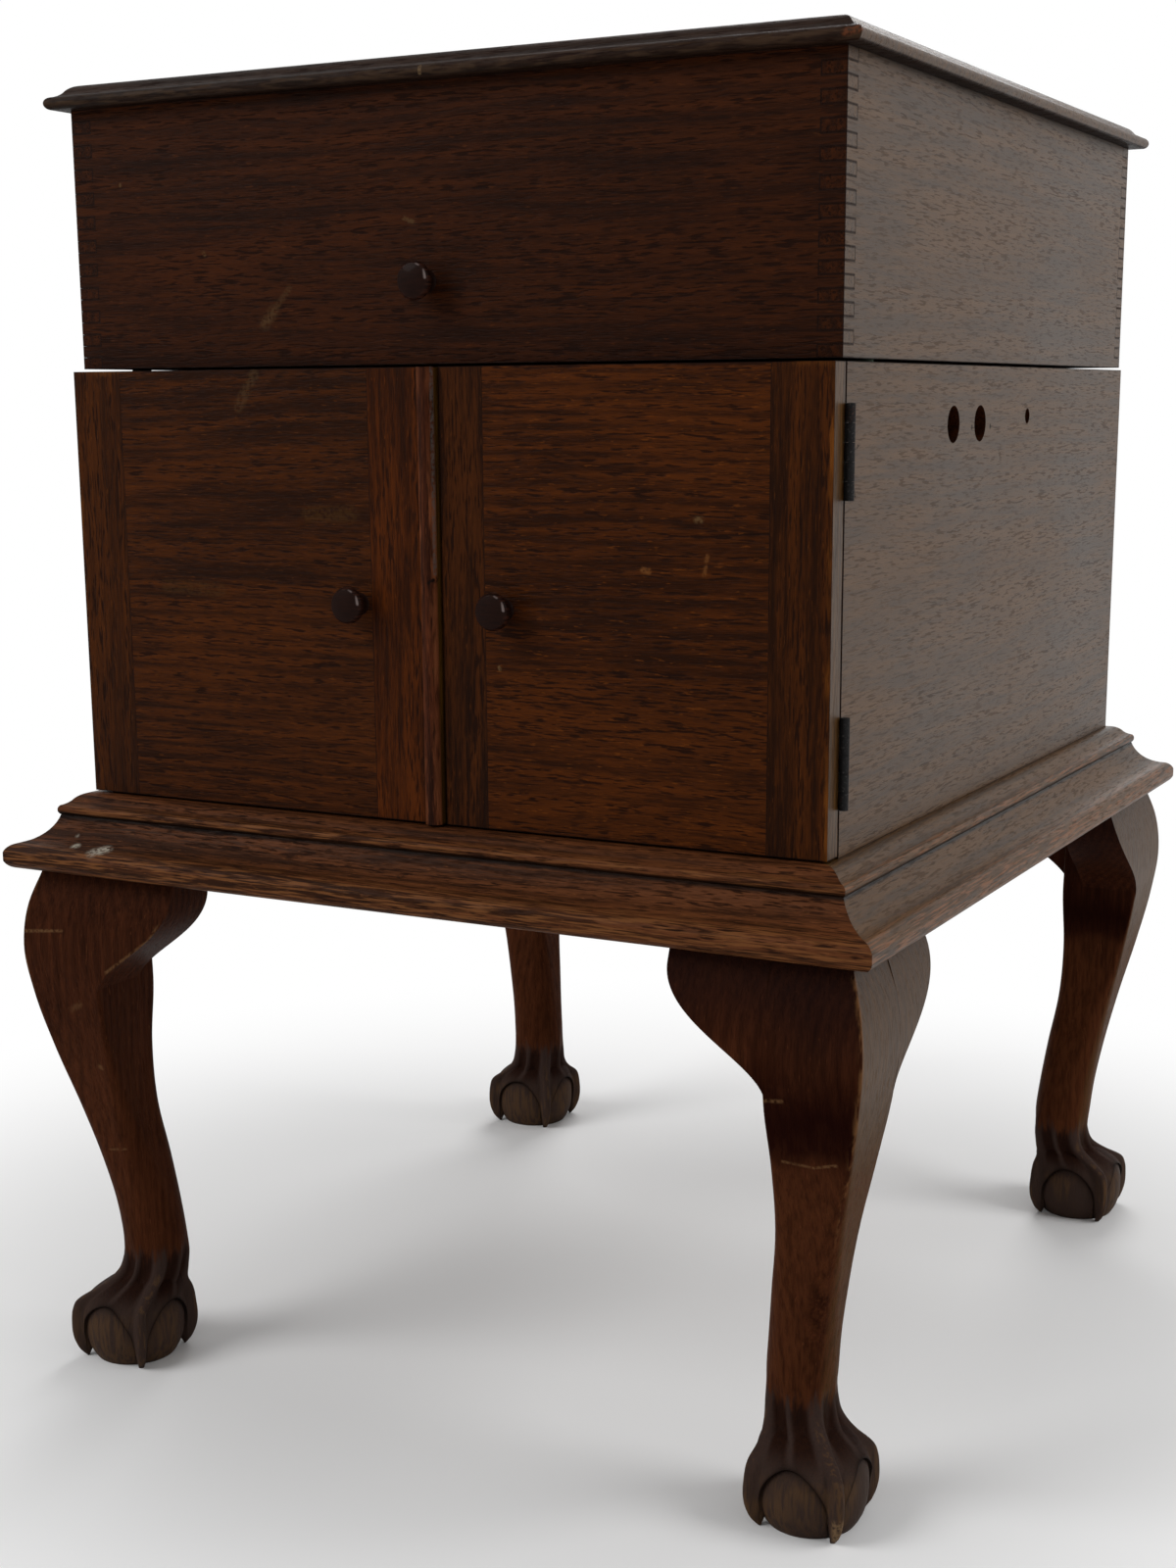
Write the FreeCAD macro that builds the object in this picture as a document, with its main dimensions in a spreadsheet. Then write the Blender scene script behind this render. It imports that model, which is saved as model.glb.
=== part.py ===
"""Oak storage cabinet with a lift-up hood, two doors and cabriole legs with ball-and-claw feet.

X runs to the cabinet's right, Y to its back and Z up. The origin is on the floor under the middle
of the case. Lengths are in millimetres.
"""

import FreeCAD
import Part
import Sketcher

import math
import os

from FreeCAD import Placement, Rotation, Vector

SIZES = {
    # Case and doors
    "case_width": 500,
    "case_depth": 541,
    "case_height": 261.5,
    "case_board": 14.4,
    "housing": 5,
    "deck_board": 14.4,
    "deck_drop": 4,
    "rail_height": 25,
    "rail_depth": 18,
    "glue_line": 0.05,
    "door_board": 14.4,
    "door_lift": 1.5,
    "outer_stile": 35.5,
    "left_inner_stile": 35.5,
    "right_inner_stile": 28,
    "tongue_depth": 7,
    "tongue_thickness": 5,
    "strip_width": 11,
    "strip_bead": 7.5,
    "meeting_gap": 2,
    # Holes that an old crank left in the right side
    "crank_hole": 21.5,
    "front_hole_back": 170.5,
    "rear_hole_back": 219.5,
    "crank_hole_drop": 34,
    "stop_hole": 9.5,
    "stop_hole_back": 315,
    "stop_hole_drop": 30.5,
    # Hood
    "hood_height": 152,
    "hood_board": 14.4,
    "hood_forward": 6,
    "comb_count": 11,
    "top_board": 14.4,
    "top_overhang": 11.5,
    "top_nose": 7.3,
    "top_nose_in": 3,
    "top_hollow_in": 8.5,
    "top_hollow_up": 10.1,
    "top_hollow_sweep": 9,
    "top_round_in": 15,
    "top_round_sweep": 10,
    # Base frames
    "frame_width": 45,
    "bead_height": 13,
    "bead_reach": 17.5,
    "bead_nose": 5.8,
    "bead_nose_in": 1.3,
    "bead_neck_in": 6.4,
    "bead_neck_up": 8.4,
    "bead_round_in": 15,
    "bead_sweep": 12,
    "hollow_height": 33,
    "hollow_reach": 42.5,
    "hollow_nose": 15.8,
    "hollow_nose_in": 6,
    "hollow_in": 26.5,
    "hollow_sweep": 25,
    # Legs
    "leg_height": 336,
    "ankle_height": 97,
    "arch_height": 42,
    "dowel_radius": 10,
    "dowel_length": 25,
    "dowel_set_in": 2,
    "ear_length": 60,
    "ear_drop": 80,
    "ear_thickness": 32,
    "ear_clear": 0.3,
    "ball_radius": 29.5,
    "ball_height": 24,
    "web_gap": 1.2,
    "foot_set_in": 6,
    "ankle_set_in": 15,
    # Turned knobs
    "knob_radius": 10.5,
    "knob_length": 16.5,
    "knob_neck": 5,
    "knob_neck_out": 4.5,
    "knob_foot": 6.5,
    "knob_sweep": 7,
    "knob_rim": 5.4,
    "knob_rim_in": 1.1,
    "knob_crown": 1.3,
    "knob_crown_sweep": 34,
    "spigot_radius": 3,
    "spigot_length": 10,
    "hood_knob_rise": 45,
    "door_knob_rise": 126,
    "left_knob_inset": 8.5,
    "right_knob_inset": 12,
    # Butt hinges
    "leaf": 0.8,
    "leaf_play": 0.1,
    "leaf_width": 12,
    "hood_leaf_width": 8,
    "hinge_length": 50,
    "knuckle_radius": 2.5,
    "knuckle_clear": 0.4,
    "knuckle_gap": 0.2,
    "pin_radius": 1.2,
    "pin_play": 0.05,
    "stop_width": 3,
    "upper_hinge_drop": 21,
    "lower_hinge_rise": 25.5,
    "hood_hinge_inset": 75,
    # Felt buffers under the hood's front corners
    "felt_radius": 6,
    "felt_back": 40,
}

KNUCKLES = 5

doc = FreeCAD.newDocument("cabinet")
sheet = doc.addObject("Spreadsheet::Sheet", "Sizes")
for row, (alias, number) in enumerate(SIZES.items(), 1):
    sheet.set(f"A{row}", alias)
    sheet.set(f"B{row}", str(number))
    sheet.setAlias(f"B{row}", alias)
doc.recompute()


# A size and its expression

class Size:
    """A length together with the sheet expression that gives it."""

    def __init__(self, text, value):
        self.text = text
        self.value = value

    def __add__(self, other):
        return combine(self, "+", other, self.value + as_size(other).value)

    def __sub__(self, other):
        return combine(self, "-", other, self.value - as_size(other).value)

    def __mul__(self, other):
        return combine(self, "*", other, self.value * as_size(other).value)

    def __truediv__(self, other):
        return combine(self, "/", other, self.value / as_size(other).value)

    def __neg__(self):
        return self * -1


def as_size(length):
    return length if isinstance(length, Size) else Size(f"({length})", length)


def combine(first, sign, second, value):
    return Size(f"({first.text} {sign} {as_size(second).text})", value)


def value(name):
    return float(sheet.get(name))


def size(name):
    return Size(f"Sizes.{name}", value(name))


ZERO = as_size(0)

half_width = size("case_width") / 2
hinge_gap = size("leaf") * 2 + size("leaf_play")
whole_depth = size("door_board") + hinge_gap + size("case_depth")
door_front = -(whole_depth / 2)
door_back = door_front + size("door_board")
case_front = door_back + hinge_gap
case_back = whole_depth / 2
bead_bottom = size("leg_height") + size("hollow_height")
case_bottom = bead_bottom + size("bead_height")
case_top = case_bottom + size("case_height")
deck_top = case_top - size("deck_drop")
deck_bottom = deck_top - size("deck_board")
hood_bottom = case_top + hinge_gap
hood_top = hood_bottom + size("hood_height")
hood_front_y = case_front - size("hood_forward")
hood_back_y = hood_front_y + size("case_depth")
door_bottom = case_bottom + size("door_lift")
door_height = case_top - door_bottom
inner_half = half_width - size("case_board")
knuckle_reach = size("knuckle_radius") + size("knuckle_clear")


# Parametric solids

def bind(thing, **lengths):
    for name, length in lengths.items():
        thing.setExpression(name, as_size(length).text)


def place(thing, x=ZERO, y=ZERO, z=ZERO, rotation=None):
    if rotation:
        thing.Placement = Placement(Vector(), rotation)
    for axis, length in zip("xyz", (x, y, z)):
        thing.setExpression(f"Placement.Base.{axis}", as_size(length).text)


def box(name, x, y, z, length, width, height):
    solid = doc.addObject("Part::Box", name)
    bind(solid, Length=length, Width=width, Height=height)
    place(solid, x, y, z)
    return solid


def rod(name, axis, x, y, z, radius, length):
    solid = doc.addObject("Part::Cylinder", name)
    bind(solid, Radius=radius, Height=length)
    place(solid, x, y, z, Rotation(Vector(0, 0, 1), axis))
    return solid


def join(name, *solids):
    result = doc.addObject("Part::MultiFuse", name)
    result.Shapes = list(solids)
    return result


def cut(name, base, *tools):
    result = doc.addObject("Part::Cut", name)
    result.Base = base
    result.Tool = tools[0] if len(tools) == 1 else join(f"{name}_waste", *tools)
    return result


def group(name, *solids):
    result = doc.addObject("Part::Compound", name)
    result.Links = list(solids)
    return result


def span(side, inner, outer):
    """Start of the stretch from inner to outer on the left (-1) or right (1) of the middle."""
    return inner if side > 0 else -outer


# Sketches

def origin_plane(body, role):
    return next(plane for plane in body.Origin.OriginFeatures if plane.Role == role)


def arc_geometry(start, stop, radius, turn):
    """Arc of less than half a circle from start to stop that turns left (1) or right (-1)."""
    chord = stop - start
    rise = math.sqrt(radius ** 2 - (chord.Length / 2) ** 2)
    normal = Vector(-chord.y, chord.x, 0).normalize()
    centre = (start + stop) / 2 + normal * rise * turn
    first, last = (start, stop) if turn > 0 else (stop, start)
    angles = [math.atan2(p.y - centre.y, p.x - centre.x) for p in (first, last)]
    if angles[1] < angles[0]:
        angles[1] += 2 * math.pi
    return Part.ArcOfCircle(Part.Circle(centre, Vector(0, 0, 1), radius), *angles)


def add_loop(sketch, corners):
    """Closed loop through corners (u, v), or (u, v, radius, turn) where an arc leaves the corner."""
    corners = [tuple(as_size(part) for part in corner[:3]) + corner[3:] for corner in corners]
    points = [Vector(corner[0].value, corner[1].value, 0) for corner in corners]
    ends = []
    for index, corner in enumerate(corners):
        start, stop = points[index], points[(index + 1) % len(points)]
        if len(corner) == 2:
            edge = sketch.addGeometry(Part.LineSegment(start, stop))
            ends.append((edge, 1, 2))
            continue
        turn = corner[3]
        edge = sketch.addGeometry(arc_geometry(start, stop, corner[2].value, turn))
        ends.append((edge, 1, 2) if turn > 0 else (edge, 2, 1))
        rule = sketch.addConstraint(Sketcher.Constraint("Radius", edge, corner[2].value))
        sketch.setExpression(f"Constraints[{rule}]", corner[2].text)
    for index, (edge, start_point, _) in enumerate(ends):
        before, _, before_point = ends[index - 1]
        sketch.addConstraint(Sketcher.Constraint("Coincident", before, before_point, edge, start_point))
        for kind, length in zip(("DistanceX", "DistanceY"), corners[index]):
            rule = sketch.addConstraint(
                Sketcher.Constraint(kind, -1, 1, edge, start_point, length.value))
            sketch.setExpression(f"Constraints[{rule}]", length.text)


def add_circle(sketch, u, v, radius):
    centre = Vector(u.value, v.value, 0)
    edge = sketch.addGeometry(Part.Circle(centre, Vector(0, 0, 1), radius.value))
    rules = (("Radius", (edge,), radius), ("DistanceX", (-1, 1, edge, 3), u),
             ("DistanceY", (-1, 1, edge, 3), v))
    for kind, where, length in rules:
        rule = sketch.addConstraint(Sketcher.Constraint(kind, *where, length.value))
        sketch.setExpression(f"Constraints[{rule}]", length.text)


def sketch_on(body, role, *loops):
    sketch = body.newObject("Sketcher::SketchObject", f"{body.Name}_sketch")
    sketch.AttachmentSupport = (origin_plane(body, role), [""])
    sketch.MapMode = "FlatFace"
    for loop in loops:
        add_loop(sketch, loop)
    return sketch


def rectangle(u0, v0, u1, v1):
    return [(u0, v0), (u1, v0), (u1, v1), (u0, v1)]


def pad(body, sketch, length):
    feature = body.newObject("PartDesign::Pad", f"{body.Name}_pad")
    feature.Profile = sketch
    feature.setExpression("Length", length.text)
    return feature


def cut_through(body, sketch):
    feature = body.newObject("PartDesign::Pocket", f"{body.Name}_cut")
    feature.Profile = sketch
    feature.Type = "ThroughAll"
    feature.Midplane = True
    return feature


def cut_blind(body, sketch, depth, backwards=False):
    feature = body.newObject("PartDesign::Pocket", f"{body.Name}_hole")
    feature.Profile = sketch
    feature.Reversed = backwards
    feature.setExpression("Length", depth.text)
    return feature


def new_body(name):
    return doc.addObject("PartDesign::Body", name)


# Case boards

def case_side(name, side, *holes):
    """Side board with a rebate for the back and housings for the bottom, deck and front rail."""
    board = size("case_board")
    glue = size("glue_line")
    house = size("housing")
    blank = box(f"{name}_blank", span(side, inner_half, half_width), case_front, case_bottom,
                board, size("case_depth"), size("case_height"))
    start = span(side, inner_half, inner_half + house + glue)
    wide = house + glue
    back_slot = box(f"{name}_back_slot", start, case_back - board - glue, case_bottom,
                    wide, board + glue, size("case_height"))
    bottom_slot = box(f"{name}_bottom_slot", start, case_front, case_bottom,
                      wide, size("case_depth"), board + glue)
    deck_slot = box(f"{name}_deck_slot", start, case_front, deck_bottom - glue,
                    wide, size("case_depth"), size("deck_board") + glue * 2)
    rail_slot = box(f"{name}_rail_slot", start, case_front,
                    deck_bottom - size("rail_height") - glue, wide,
                    size("rail_depth") + glue, size("rail_height") + glue * 2)
    return cut(name, blank, back_slot, bottom_slot, deck_slot, rail_slot, *holes)


def crank_holes():
    """Two large holes and a small one through the right side, below the deck."""
    start = inner_half - size("case_board")
    length = size("case_board") * 3
    crank_height = case_top - size("crank_hole_drop")
    rows = (("crank_hole", "front_hole_back", crank_height),
            ("crank_hole", "rear_hole_back", crank_height),
            ("stop_hole", "stop_hole_back", case_top - size("stop_hole_drop")))
    return [rod(f"{back}_bore", Vector(1, 0, 0), start, case_front + size(back), height,
                size(bore) / 2, length) for bore, back, height in rows]


housed_half = inner_half + size("housing")
between = housed_half * 2
back_face = case_back - size("case_board")
board_length = size("case_depth") - size("case_board") - size("glue_line")

case_parts = [
    case_side("case_left_side", -1),
    case_side("case_right_side", 1, *crank_holes()),
    box("case_back", -housed_half, back_face, case_bottom,
        between, size("case_board"), size("case_height")),
    box("case_bottom", -housed_half, case_front, case_bottom,
        between, board_length, size("case_board")),
    box("deck_board", -housed_half, case_front, deck_bottom,
        between, board_length, size("deck_board")),
    box("front_rail", -housed_half, case_front, deck_bottom - size("rail_height"),
        between, size("rail_depth"), size("rail_height")),
]

felt_x = half_width - size("case_board") / 2
felts = [rod(f"felt_{index}", Vector(0, 0, 1), felt_x * side, case_front + size("felt_back"), case_top,
             size("felt_radius"), hinge_gap - size("glue_line")) for index, side in enumerate((-1, 1))]
case_parts.append(group("hood_buffers", *felts))


# Base frames with moulded edges

# A nose is an arc whose radius is this share of its chord.
FULL_ROUND = 0.51
FLAT_ROUND = 0.65
# How far the waste of a moulded edge runs past the board
CUTTER_RUN = 5


def bead_waste(edge):
    """What the cutter takes off the upper frame's outer edge: a bead under a hollow and a round."""
    height = size("bead_height")
    nose = size("bead_nose")
    sweep = size("bead_sweep")
    return [(edge + size("bead_nose_in"), ZERO, nose * FLAT_ROUND, -1),
            (edge + size("bead_nose_in"), nose, sweep, 1),
            (edge + size("bead_neck_in"), size("bead_neck_up"), sweep, -1),
            (edge + size("bead_round_in"), height), (edge - CUTTER_RUN, height), (edge - CUTTER_RUN, ZERO)]


def hollow_waste(edge):
    """What the cutter takes off the lower frame's outer edge: a round nose under a wide hollow."""
    height = size("hollow_height")
    nose = size("hollow_nose")
    return [(edge + size("hollow_nose_in"), ZERO, nose * FULL_ROUND, -1),
            (edge + size("hollow_nose_in"), nose, size("hollow_sweep"), 1),
            (edge + size("hollow_in"), height), (edge - CUTTER_RUN, height), (edge - CUTTER_RUN, ZERO)]


def frame_rail(name, turn, run, across, bottom, height, reach, waste, dowels):
    """Rail with mitred ends and a moulded outer edge.

    The rail is drawn along X with its outer edge towards -Y. run is half the case along the rail
    and across is half the case across it.
    """
    body = new_body(name)
    inner = size("frame_width")
    glue = size("glue_line")
    plan = [(-(run + reach - glue), -reach), (run + reach - glue, -reach),
            (run - inner - glue, inner), (-(run - inner - glue), inner)]
    pad(body, sketch_on(body, "XY_Plane", plan), height)
    cut_through(body, sketch_on(body, "YZ_Plane", waste(-reach)))
    if dowels:
        holes = sketch_on(body, "XY_Plane")
        for side in (-1, 1):
            add_circle(holes, (run - size("dowel_set_in")) * side, size("dowel_set_in"),
                       size("dowel_radius") + glue * 2)
        cut_blind(body, holes, size("dowel_length") + glue * 2, True)
    rotation = Rotation(Vector(0, 0, 1), turn)
    outward = rotation.multVec(Vector(0, -1, 0))
    place(body, across * round(outward.x), across * round(outward.y), bottom, rotation)
    return body


rail_names = (("front", 0), ("right", 90), ("back", 180), ("left", 270))
for place_name, turn in rail_names:
    lengthwise = turn % 180 == 0
    run = half_width if lengthwise else case_back
    across = case_back if lengthwise else half_width
    case_parts.append(frame_rail(f"bead_rail_{place_name}", turn, run, across, bead_bottom,
                                 size("bead_height"), size("bead_reach"), bead_waste, False))
    case_parts.append(frame_rail(f"hollow_rail_{place_name}", turn, run, across, size("leg_height"),
                                 size("hollow_height"), size("hollow_reach"), hollow_waste, True))


# Legs

# Share of the height from the ankle to the top, outer face, inner face and corner radius of each
# section of a leg. Faces are measured outwards from the corner of the case.
LEG_SECTIONS = (
    (1.0, 25, -20, 1),
    (0.9, 33, -20, 1),
    (0.787, 36, -20, 1),
    (0.661, 33, -20, 1.8),
    (0.494, 24.5, -20, 4.2),
    (0.326, 15.8, -23, 9),
    (0.159, 8.3, -29, 15.5),
    (0.0, 4.2, -34.2, 18.8),
)
KNEE_SECTIONS = LEG_SECTIONS[:5]

# Height, outer face, inner face and corner radius of the webs between the talons
WEB_SECTIONS = (
    (80, 6.5, -34.5, 16.5),
    (66, 10, -33, 11),
    (53, 15.2, -32, 8),
    (42, 19.3, -31.3, 7),
    (30, 18, -30, 6),
    (18, 15.5, -27.5, 6),
)

# Distance out along a diagonal of the foot, height, depth and half width of a talon's sections
TALON_SECTIONS = (
    (9.5, 108, 7, 4.5),
    (15.5, 84, 7.5, 5),
    (21, 66, 7.5, 5.5),
    (26.5, 52, 8, 6.2),
    (32, 40, 8, 6),
    (35.5, 24, 8, 5),
    (34.5, 10, 7, 4.2),
    (31, -4, 5, 3),
)
TALON_ANGLES = (45, 135, 225, 315)


def rounded_square(height, outer, inner, radius):
    """Wire of a square that spans inner to outer along X and Y, with rounded corners."""
    low, high = inner + radius, outer - radius
    arcs = []
    for quarter, (x, y) in enumerate(((high, high), (low, high), (low, low), (high, low))):
        angles = [math.radians(90 * quarter + step) for step in (0, 45, 90)]
        arcs.append([Vector(x + radius * math.cos(a), y + radius * math.sin(a), height) for a in angles])
    edges = []
    for index, points in enumerate(arcs):
        edges.append(Part.Arc(*points).toShape())
        edges.append(Part.LineSegment(points[2], arcs[(index + 1) % 4][0]).toShape())
    return Part.Wire(edges)


def loft(wires):
    return Part.makeLoft(wires, True, False)


def leg_level(share):
    return value("ankle_height") + share * (value("leg_height") - value("ankle_height"))


def talon(angle):
    """One talon, from the ankle over its knuckle to the claw on the floor."""
    outward = Vector(math.cos(math.radians(angle)), math.sin(math.radians(angle)), 0)
    across = Vector(0, 0, 1).cross(outward)
    rise = value("ankle_height") - value("arch_height")
    points = []
    for out, height, _, _ in TALON_SECTIONS:
        share = min(1, max(0, (height - value("arch_height")) / rise))
        centre = -value("foot_set_in") * (1 - share) - value("ankle_set_in") * share
        points.append(Vector(centre, centre, height) + outward * out)
    wires = []
    for index, (point, (_, _, depth, half)) in enumerate(zip(points, TALON_SECTIONS)):
        along = points[min(index + 1, len(points) - 1)] - points[max(index - 1, 0)]
        proud = across.cross(along).normalize()
        oval = Part.Ellipse(point + proud * depth, point + across * half, point)
        wires.append(Part.Wire(oval.toShape()))
    return loft(wires)


def leg_shape():
    """Leg of the corner towards +X and +Y, with its origin on the floor under the case's corner."""
    top = value("leg_height")
    sections = [(leg_level(share), *faces) for share, *faces in LEG_SECTIONS]
    post = loft([rounded_square(*section) for section in sections + list(WEB_SECTIONS)])
    foot = Vector(-value("foot_set_in"), -value("foot_set_in"), value("ball_height"))
    ball = Part.makeSphere(value("ball_radius"), foot)
    hollow = Part.makeSphere(value("ball_radius") + value("web_gap"), foot)
    root = 1
    dowel_foot = Vector(-value("dowel_set_in"), -value("dowel_set_in"), top - root)
    dowel = Part.makeCylinder(value("dowel_radius"), value("dowel_length") + root, dowel_foot)
    leg = post.cut(hollow).fuse([ball, dowel] + [talon(angle) for angle in TALON_ANGLES])
    under = Part.makeBox(top, top, top, Vector(-top / 2, -top / 2, -top))
    return leg.cut(under).removeSplitter().Solids[0]


def ear_shape():
    """Knee block beside the leg, along X, with its face flush with the knee's curve."""
    top = value("leg_height")
    joint = KNEE_SECTIONS[0][2] - value("ear_clear")
    tip = joint - value("ear_length")
    drop = value("ear_drop")
    sweep = Part.BezierCurve()
    sweep.setPoles([Vector(tip, 0, top - drop * 0.12), Vector(tip, 0, top - drop * 0.52),
                    Vector(joint, 0, top - drop * 0.72), Vector(joint, 0, top - drop)])
    start, stop = sweep.getPole(1), sweep.getPole(4)
    high_joint, high_tip = Vector(joint, 0, top), Vector(tip, 0, top)
    outline = [sweep.toShape()] + [Part.LineSegment(*pair).toShape() for pair in (
        (stop, high_joint), (high_joint, high_tip), (high_tip, start))]
    knee = [Vector(0, outer, leg_level(share)) for share, outer, _, _ in KNEE_SECTIONS]
    curve = Part.BSplineCurve()
    curve.interpolate(knee)
    high, low = knee[0], knee[-1]
    back = high.y - value("ear_thickness")
    back_high, back_low = Vector(0, back, high.z), Vector(0, back, low.z)
    section = [curve.toShape()] + [Part.LineSegment(*pair).toShape() for pair in (
        (low, back_low), (back_low, back_high), (back_high, high))]
    side_view = Part.Face(Part.Wire(outline)).extrude(Vector(0, top, 0))
    side_view.translate(Vector(0, -top / 2, 0))
    end_view = Part.Face(Part.Wire(section)).extrude(Vector(-top, 0, 0))
    return side_view.common(end_view).Solids[0]


def feature(name, shape, placement):
    solid = doc.addObject("Part::Feature", name)
    solid.Shape = shape
    solid.Placement = placement
    return solid


leg_solid = leg_shape()
ear_solid = ear_shape()
ear_pair = Part.makeCompound([ear_solid, ear_solid.mirror(Vector(), Vector(1, -1, 0))])
corners = (("back_right", 0, 1, 1), ("back_left", 90, -1, 1),
           ("front_left", 180, -1, -1), ("front_right", 270, 1, -1))
for corner, turn, side, end in corners:
    spot = Placement(Vector(half_width.value * side, case_back.value * end, 0),
                     Rotation(Vector(0, 0, 1), turn))
    case_parts.append(feature(f"leg_{corner}", leg_solid, spot))
    case_parts.append(feature(f"knee_blocks_{corner}", ear_pair, spot))


# Turned knobs

def knob(name, x, y, z):
    """Turned knob with a spigot, its axis along Y and its face towards -Y."""
    body = new_body(name)
    length = size("knob_length")
    radius = size("knob_radius")
    spigot = size("spigot_radius")
    peg = size("spigot_length")
    rim = size("knob_rim")
    shoulder = size("knob_crown") - length
    sweep = size("knob_sweep")
    profile = [(ZERO, peg), (spigot, peg), (spigot, ZERO), (size("knob_foot"), ZERO, sweep, 1),
               (size("knob_neck"), -size("knob_neck_out"), sweep, 1),
               (radius - size("knob_rim_in"), shoulder + rim, rim * FLAT_ROUND, -1),
               (radius - size("knob_rim_in"), shoulder, size("knob_crown_sweep"), -1), (ZERO, -length)]
    turning = body.newObject("PartDesign::Revolution", f"{name}_turning")
    turning.Profile = sketch_on(body, "XY_Plane", profile)
    turning.ReferenceAxis = (turning.Profile[0], ["V_Axis"])
    turning.Angle = 360
    place(body, x, y, z)
    return body


def knob_hole(body, u, v, face):
    """Blind hole for a knob's spigot, from the face at -Y."""
    sketch = sketch_on(body, "XZ_Plane")
    sketch.setExpression("AttachmentOffset.Base.z", face.text)
    add_circle(sketch, u, v, size("spigot_radius") + size("glue_line"))
    cut_blind(body, sketch, size("spigot_length") + size("glue_line") * 2)


# Hood

comb_pitch = size("hood_height") / size("comb_count")
comb_finger = comb_pitch / 2


def comb(body, sketch):
    """Repeat the first notch of a comb joint up the board's ends."""
    notch = cut_through(body, sketch)
    pattern = body.newObject("PartDesign::LinearPattern", f"{body.Name}_comb")
    pattern.Originals = [notch]
    pattern.Direction = (sketch, ["V_Axis"])
    pattern.setExpression("Length", (comb_pitch * (size("comb_count") - 1)).text)
    pattern.setExpression("Occurrences", size("comb_count").text)
    body.Tip = pattern


def hood_end(name, y, with_knob):
    """Front or back board of the hood, drawn in XZ, its thickness towards -Y."""
    body = new_body(name)
    glue = size("glue_line")
    board = size("hood_board")
    face = rectangle(-half_width, ZERO, half_width, size("hood_height"))
    pad(body, sketch_on(body, "XZ_Plane", face), board)
    start, stop = half_width - board - glue, half_width + glue
    notches = [rectangle(start, -glue, stop, comb_finger + glue),
               rectangle(-stop, -glue, -start, comb_finger + glue)]
    comb(body, sketch_on(body, "XZ_Plane", *notches))
    if with_knob:
        knob_hole(body, ZERO, size("hood_knob_rise"), board)
    place(body, ZERO, y, hood_bottom)
    return body


def hood_side(name, x):
    """Side board of the hood, drawn in YZ, its thickness towards +X."""
    body = new_body(name)
    glue = size("glue_line")
    board = size("hood_board")
    depth = size("case_depth")
    pad(body, sketch_on(body, "YZ_Plane", rectangle(ZERO, ZERO, depth, size("hood_height"))), board)
    low, high = comb_finger - glue, comb_pitch + glue
    notches = [rectangle(-glue, low, board + glue, high),
               rectangle(depth - board - glue, low, depth + glue, high)]
    comb(body, sketch_on(body, "YZ_Plane", *notches))
    place(body, x, hood_front_y, hood_bottom)
    return body


def top_waste(edge, inward):
    """What the cutter takes off one edge of the top: a round nose under a hollow and a round."""
    thick = size("top_board")
    nose = size("top_nose")
    return [(edge + size("top_nose_in") * inward, ZERO, nose * FULL_ROUND, -inward),
            (edge + size("top_nose_in") * inward, nose, size("top_hollow_sweep"), inward),
            (edge + size("top_hollow_in") * inward, size("top_hollow_up"), size("top_round_sweep"), -inward),
            (edge + size("top_round_in") * inward, thick),
            (edge - CUTTER_RUN * inward, thick), (edge - CUTTER_RUN * inward, ZERO)]


def moulded_top():
    body = new_body("top_panel")
    over = size("top_overhang")
    side = half_width + over
    front, back = hood_front_y - over, hood_back_y + over
    pad(body, sketch_on(body, "XY_Plane", rectangle(-side, front, side, back)), size("top_board"))
    cut_through(body, sketch_on(body, "YZ_Plane", top_waste(front, 1), top_waste(back, -1)))
    cut_through(body, sketch_on(body, "XZ_Plane", top_waste(-side, 1), top_waste(side, -1)))
    place(body, ZERO, ZERO, hood_top)
    return body


hood_parts = [
    hood_end("hood_front", hood_front_y + size("hood_board"), True),
    hood_end("hood_back", hood_back_y, False),
    hood_side("hood_left_side", -half_width),
    hood_side("hood_right_side", half_width - size("hood_board")),
    moulded_top(),
    knob("hood_knob", ZERO, hood_front_y, hood_bottom + size("hood_knob_rise")),
]


# Doors

tongue_front = door_front + (size("door_board") - size("tongue_thickness")) / 2
tongue_back = tongue_front + size("tongue_thickness")


def upright(name, section):
    body = new_body(name)
    pad(body, sketch_on(body, "XY_Plane", section), door_height)
    place(body, ZERO, ZERO, door_bottom)
    return body


def stile(name, edge, joint):
    """Upright end of a door, with a groove for the panel's tongue in its joint face."""
    glue = size("glue_line")
    inward = -1 if joint.value > edge.value else 1
    groove = joint + (size("tongue_depth") + glue * 4) * inward
    return upright(name, [(edge, door_front), (joint, door_front), (joint, tongue_front - glue),
                          (groove, tongue_front - glue), (groove, tongue_back + glue),
                          (joint, tongue_back + glue), (joint, door_back), (edge, door_back)])


def door_panel(name, left, right, knob_x):
    """Flush panel with a tongue at each end and a hole for the knob's spigot."""
    tongue = size("tongue_depth")
    body = upright(name, [(left, door_front), (right, door_front), (right, tongue_front),
                          (right + tongue, tongue_front), (right + tongue, tongue_back), (right, tongue_back),
                          (right, door_back), (left, door_back), (left, tongue_back),
                          (left - tongue, tongue_back), (left - tongue, tongue_front), (left, tongue_front)])
    knob_hole(body, knob_x, size("door_knob_rise"), -door_front)
    return body


def closing_strip():
    """Strip glued to the left door's meeting edge, its front rounded to a bead."""
    width = size("strip_width")
    glue = size("glue_line")
    shoulder = door_front - size("strip_bead") + width / 2
    return upright("closing_strip", [(glue, door_back), (glue, shoulder, width * FULL_ROUND, 1),
                                     (width, shoulder), (width, door_back)])


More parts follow.
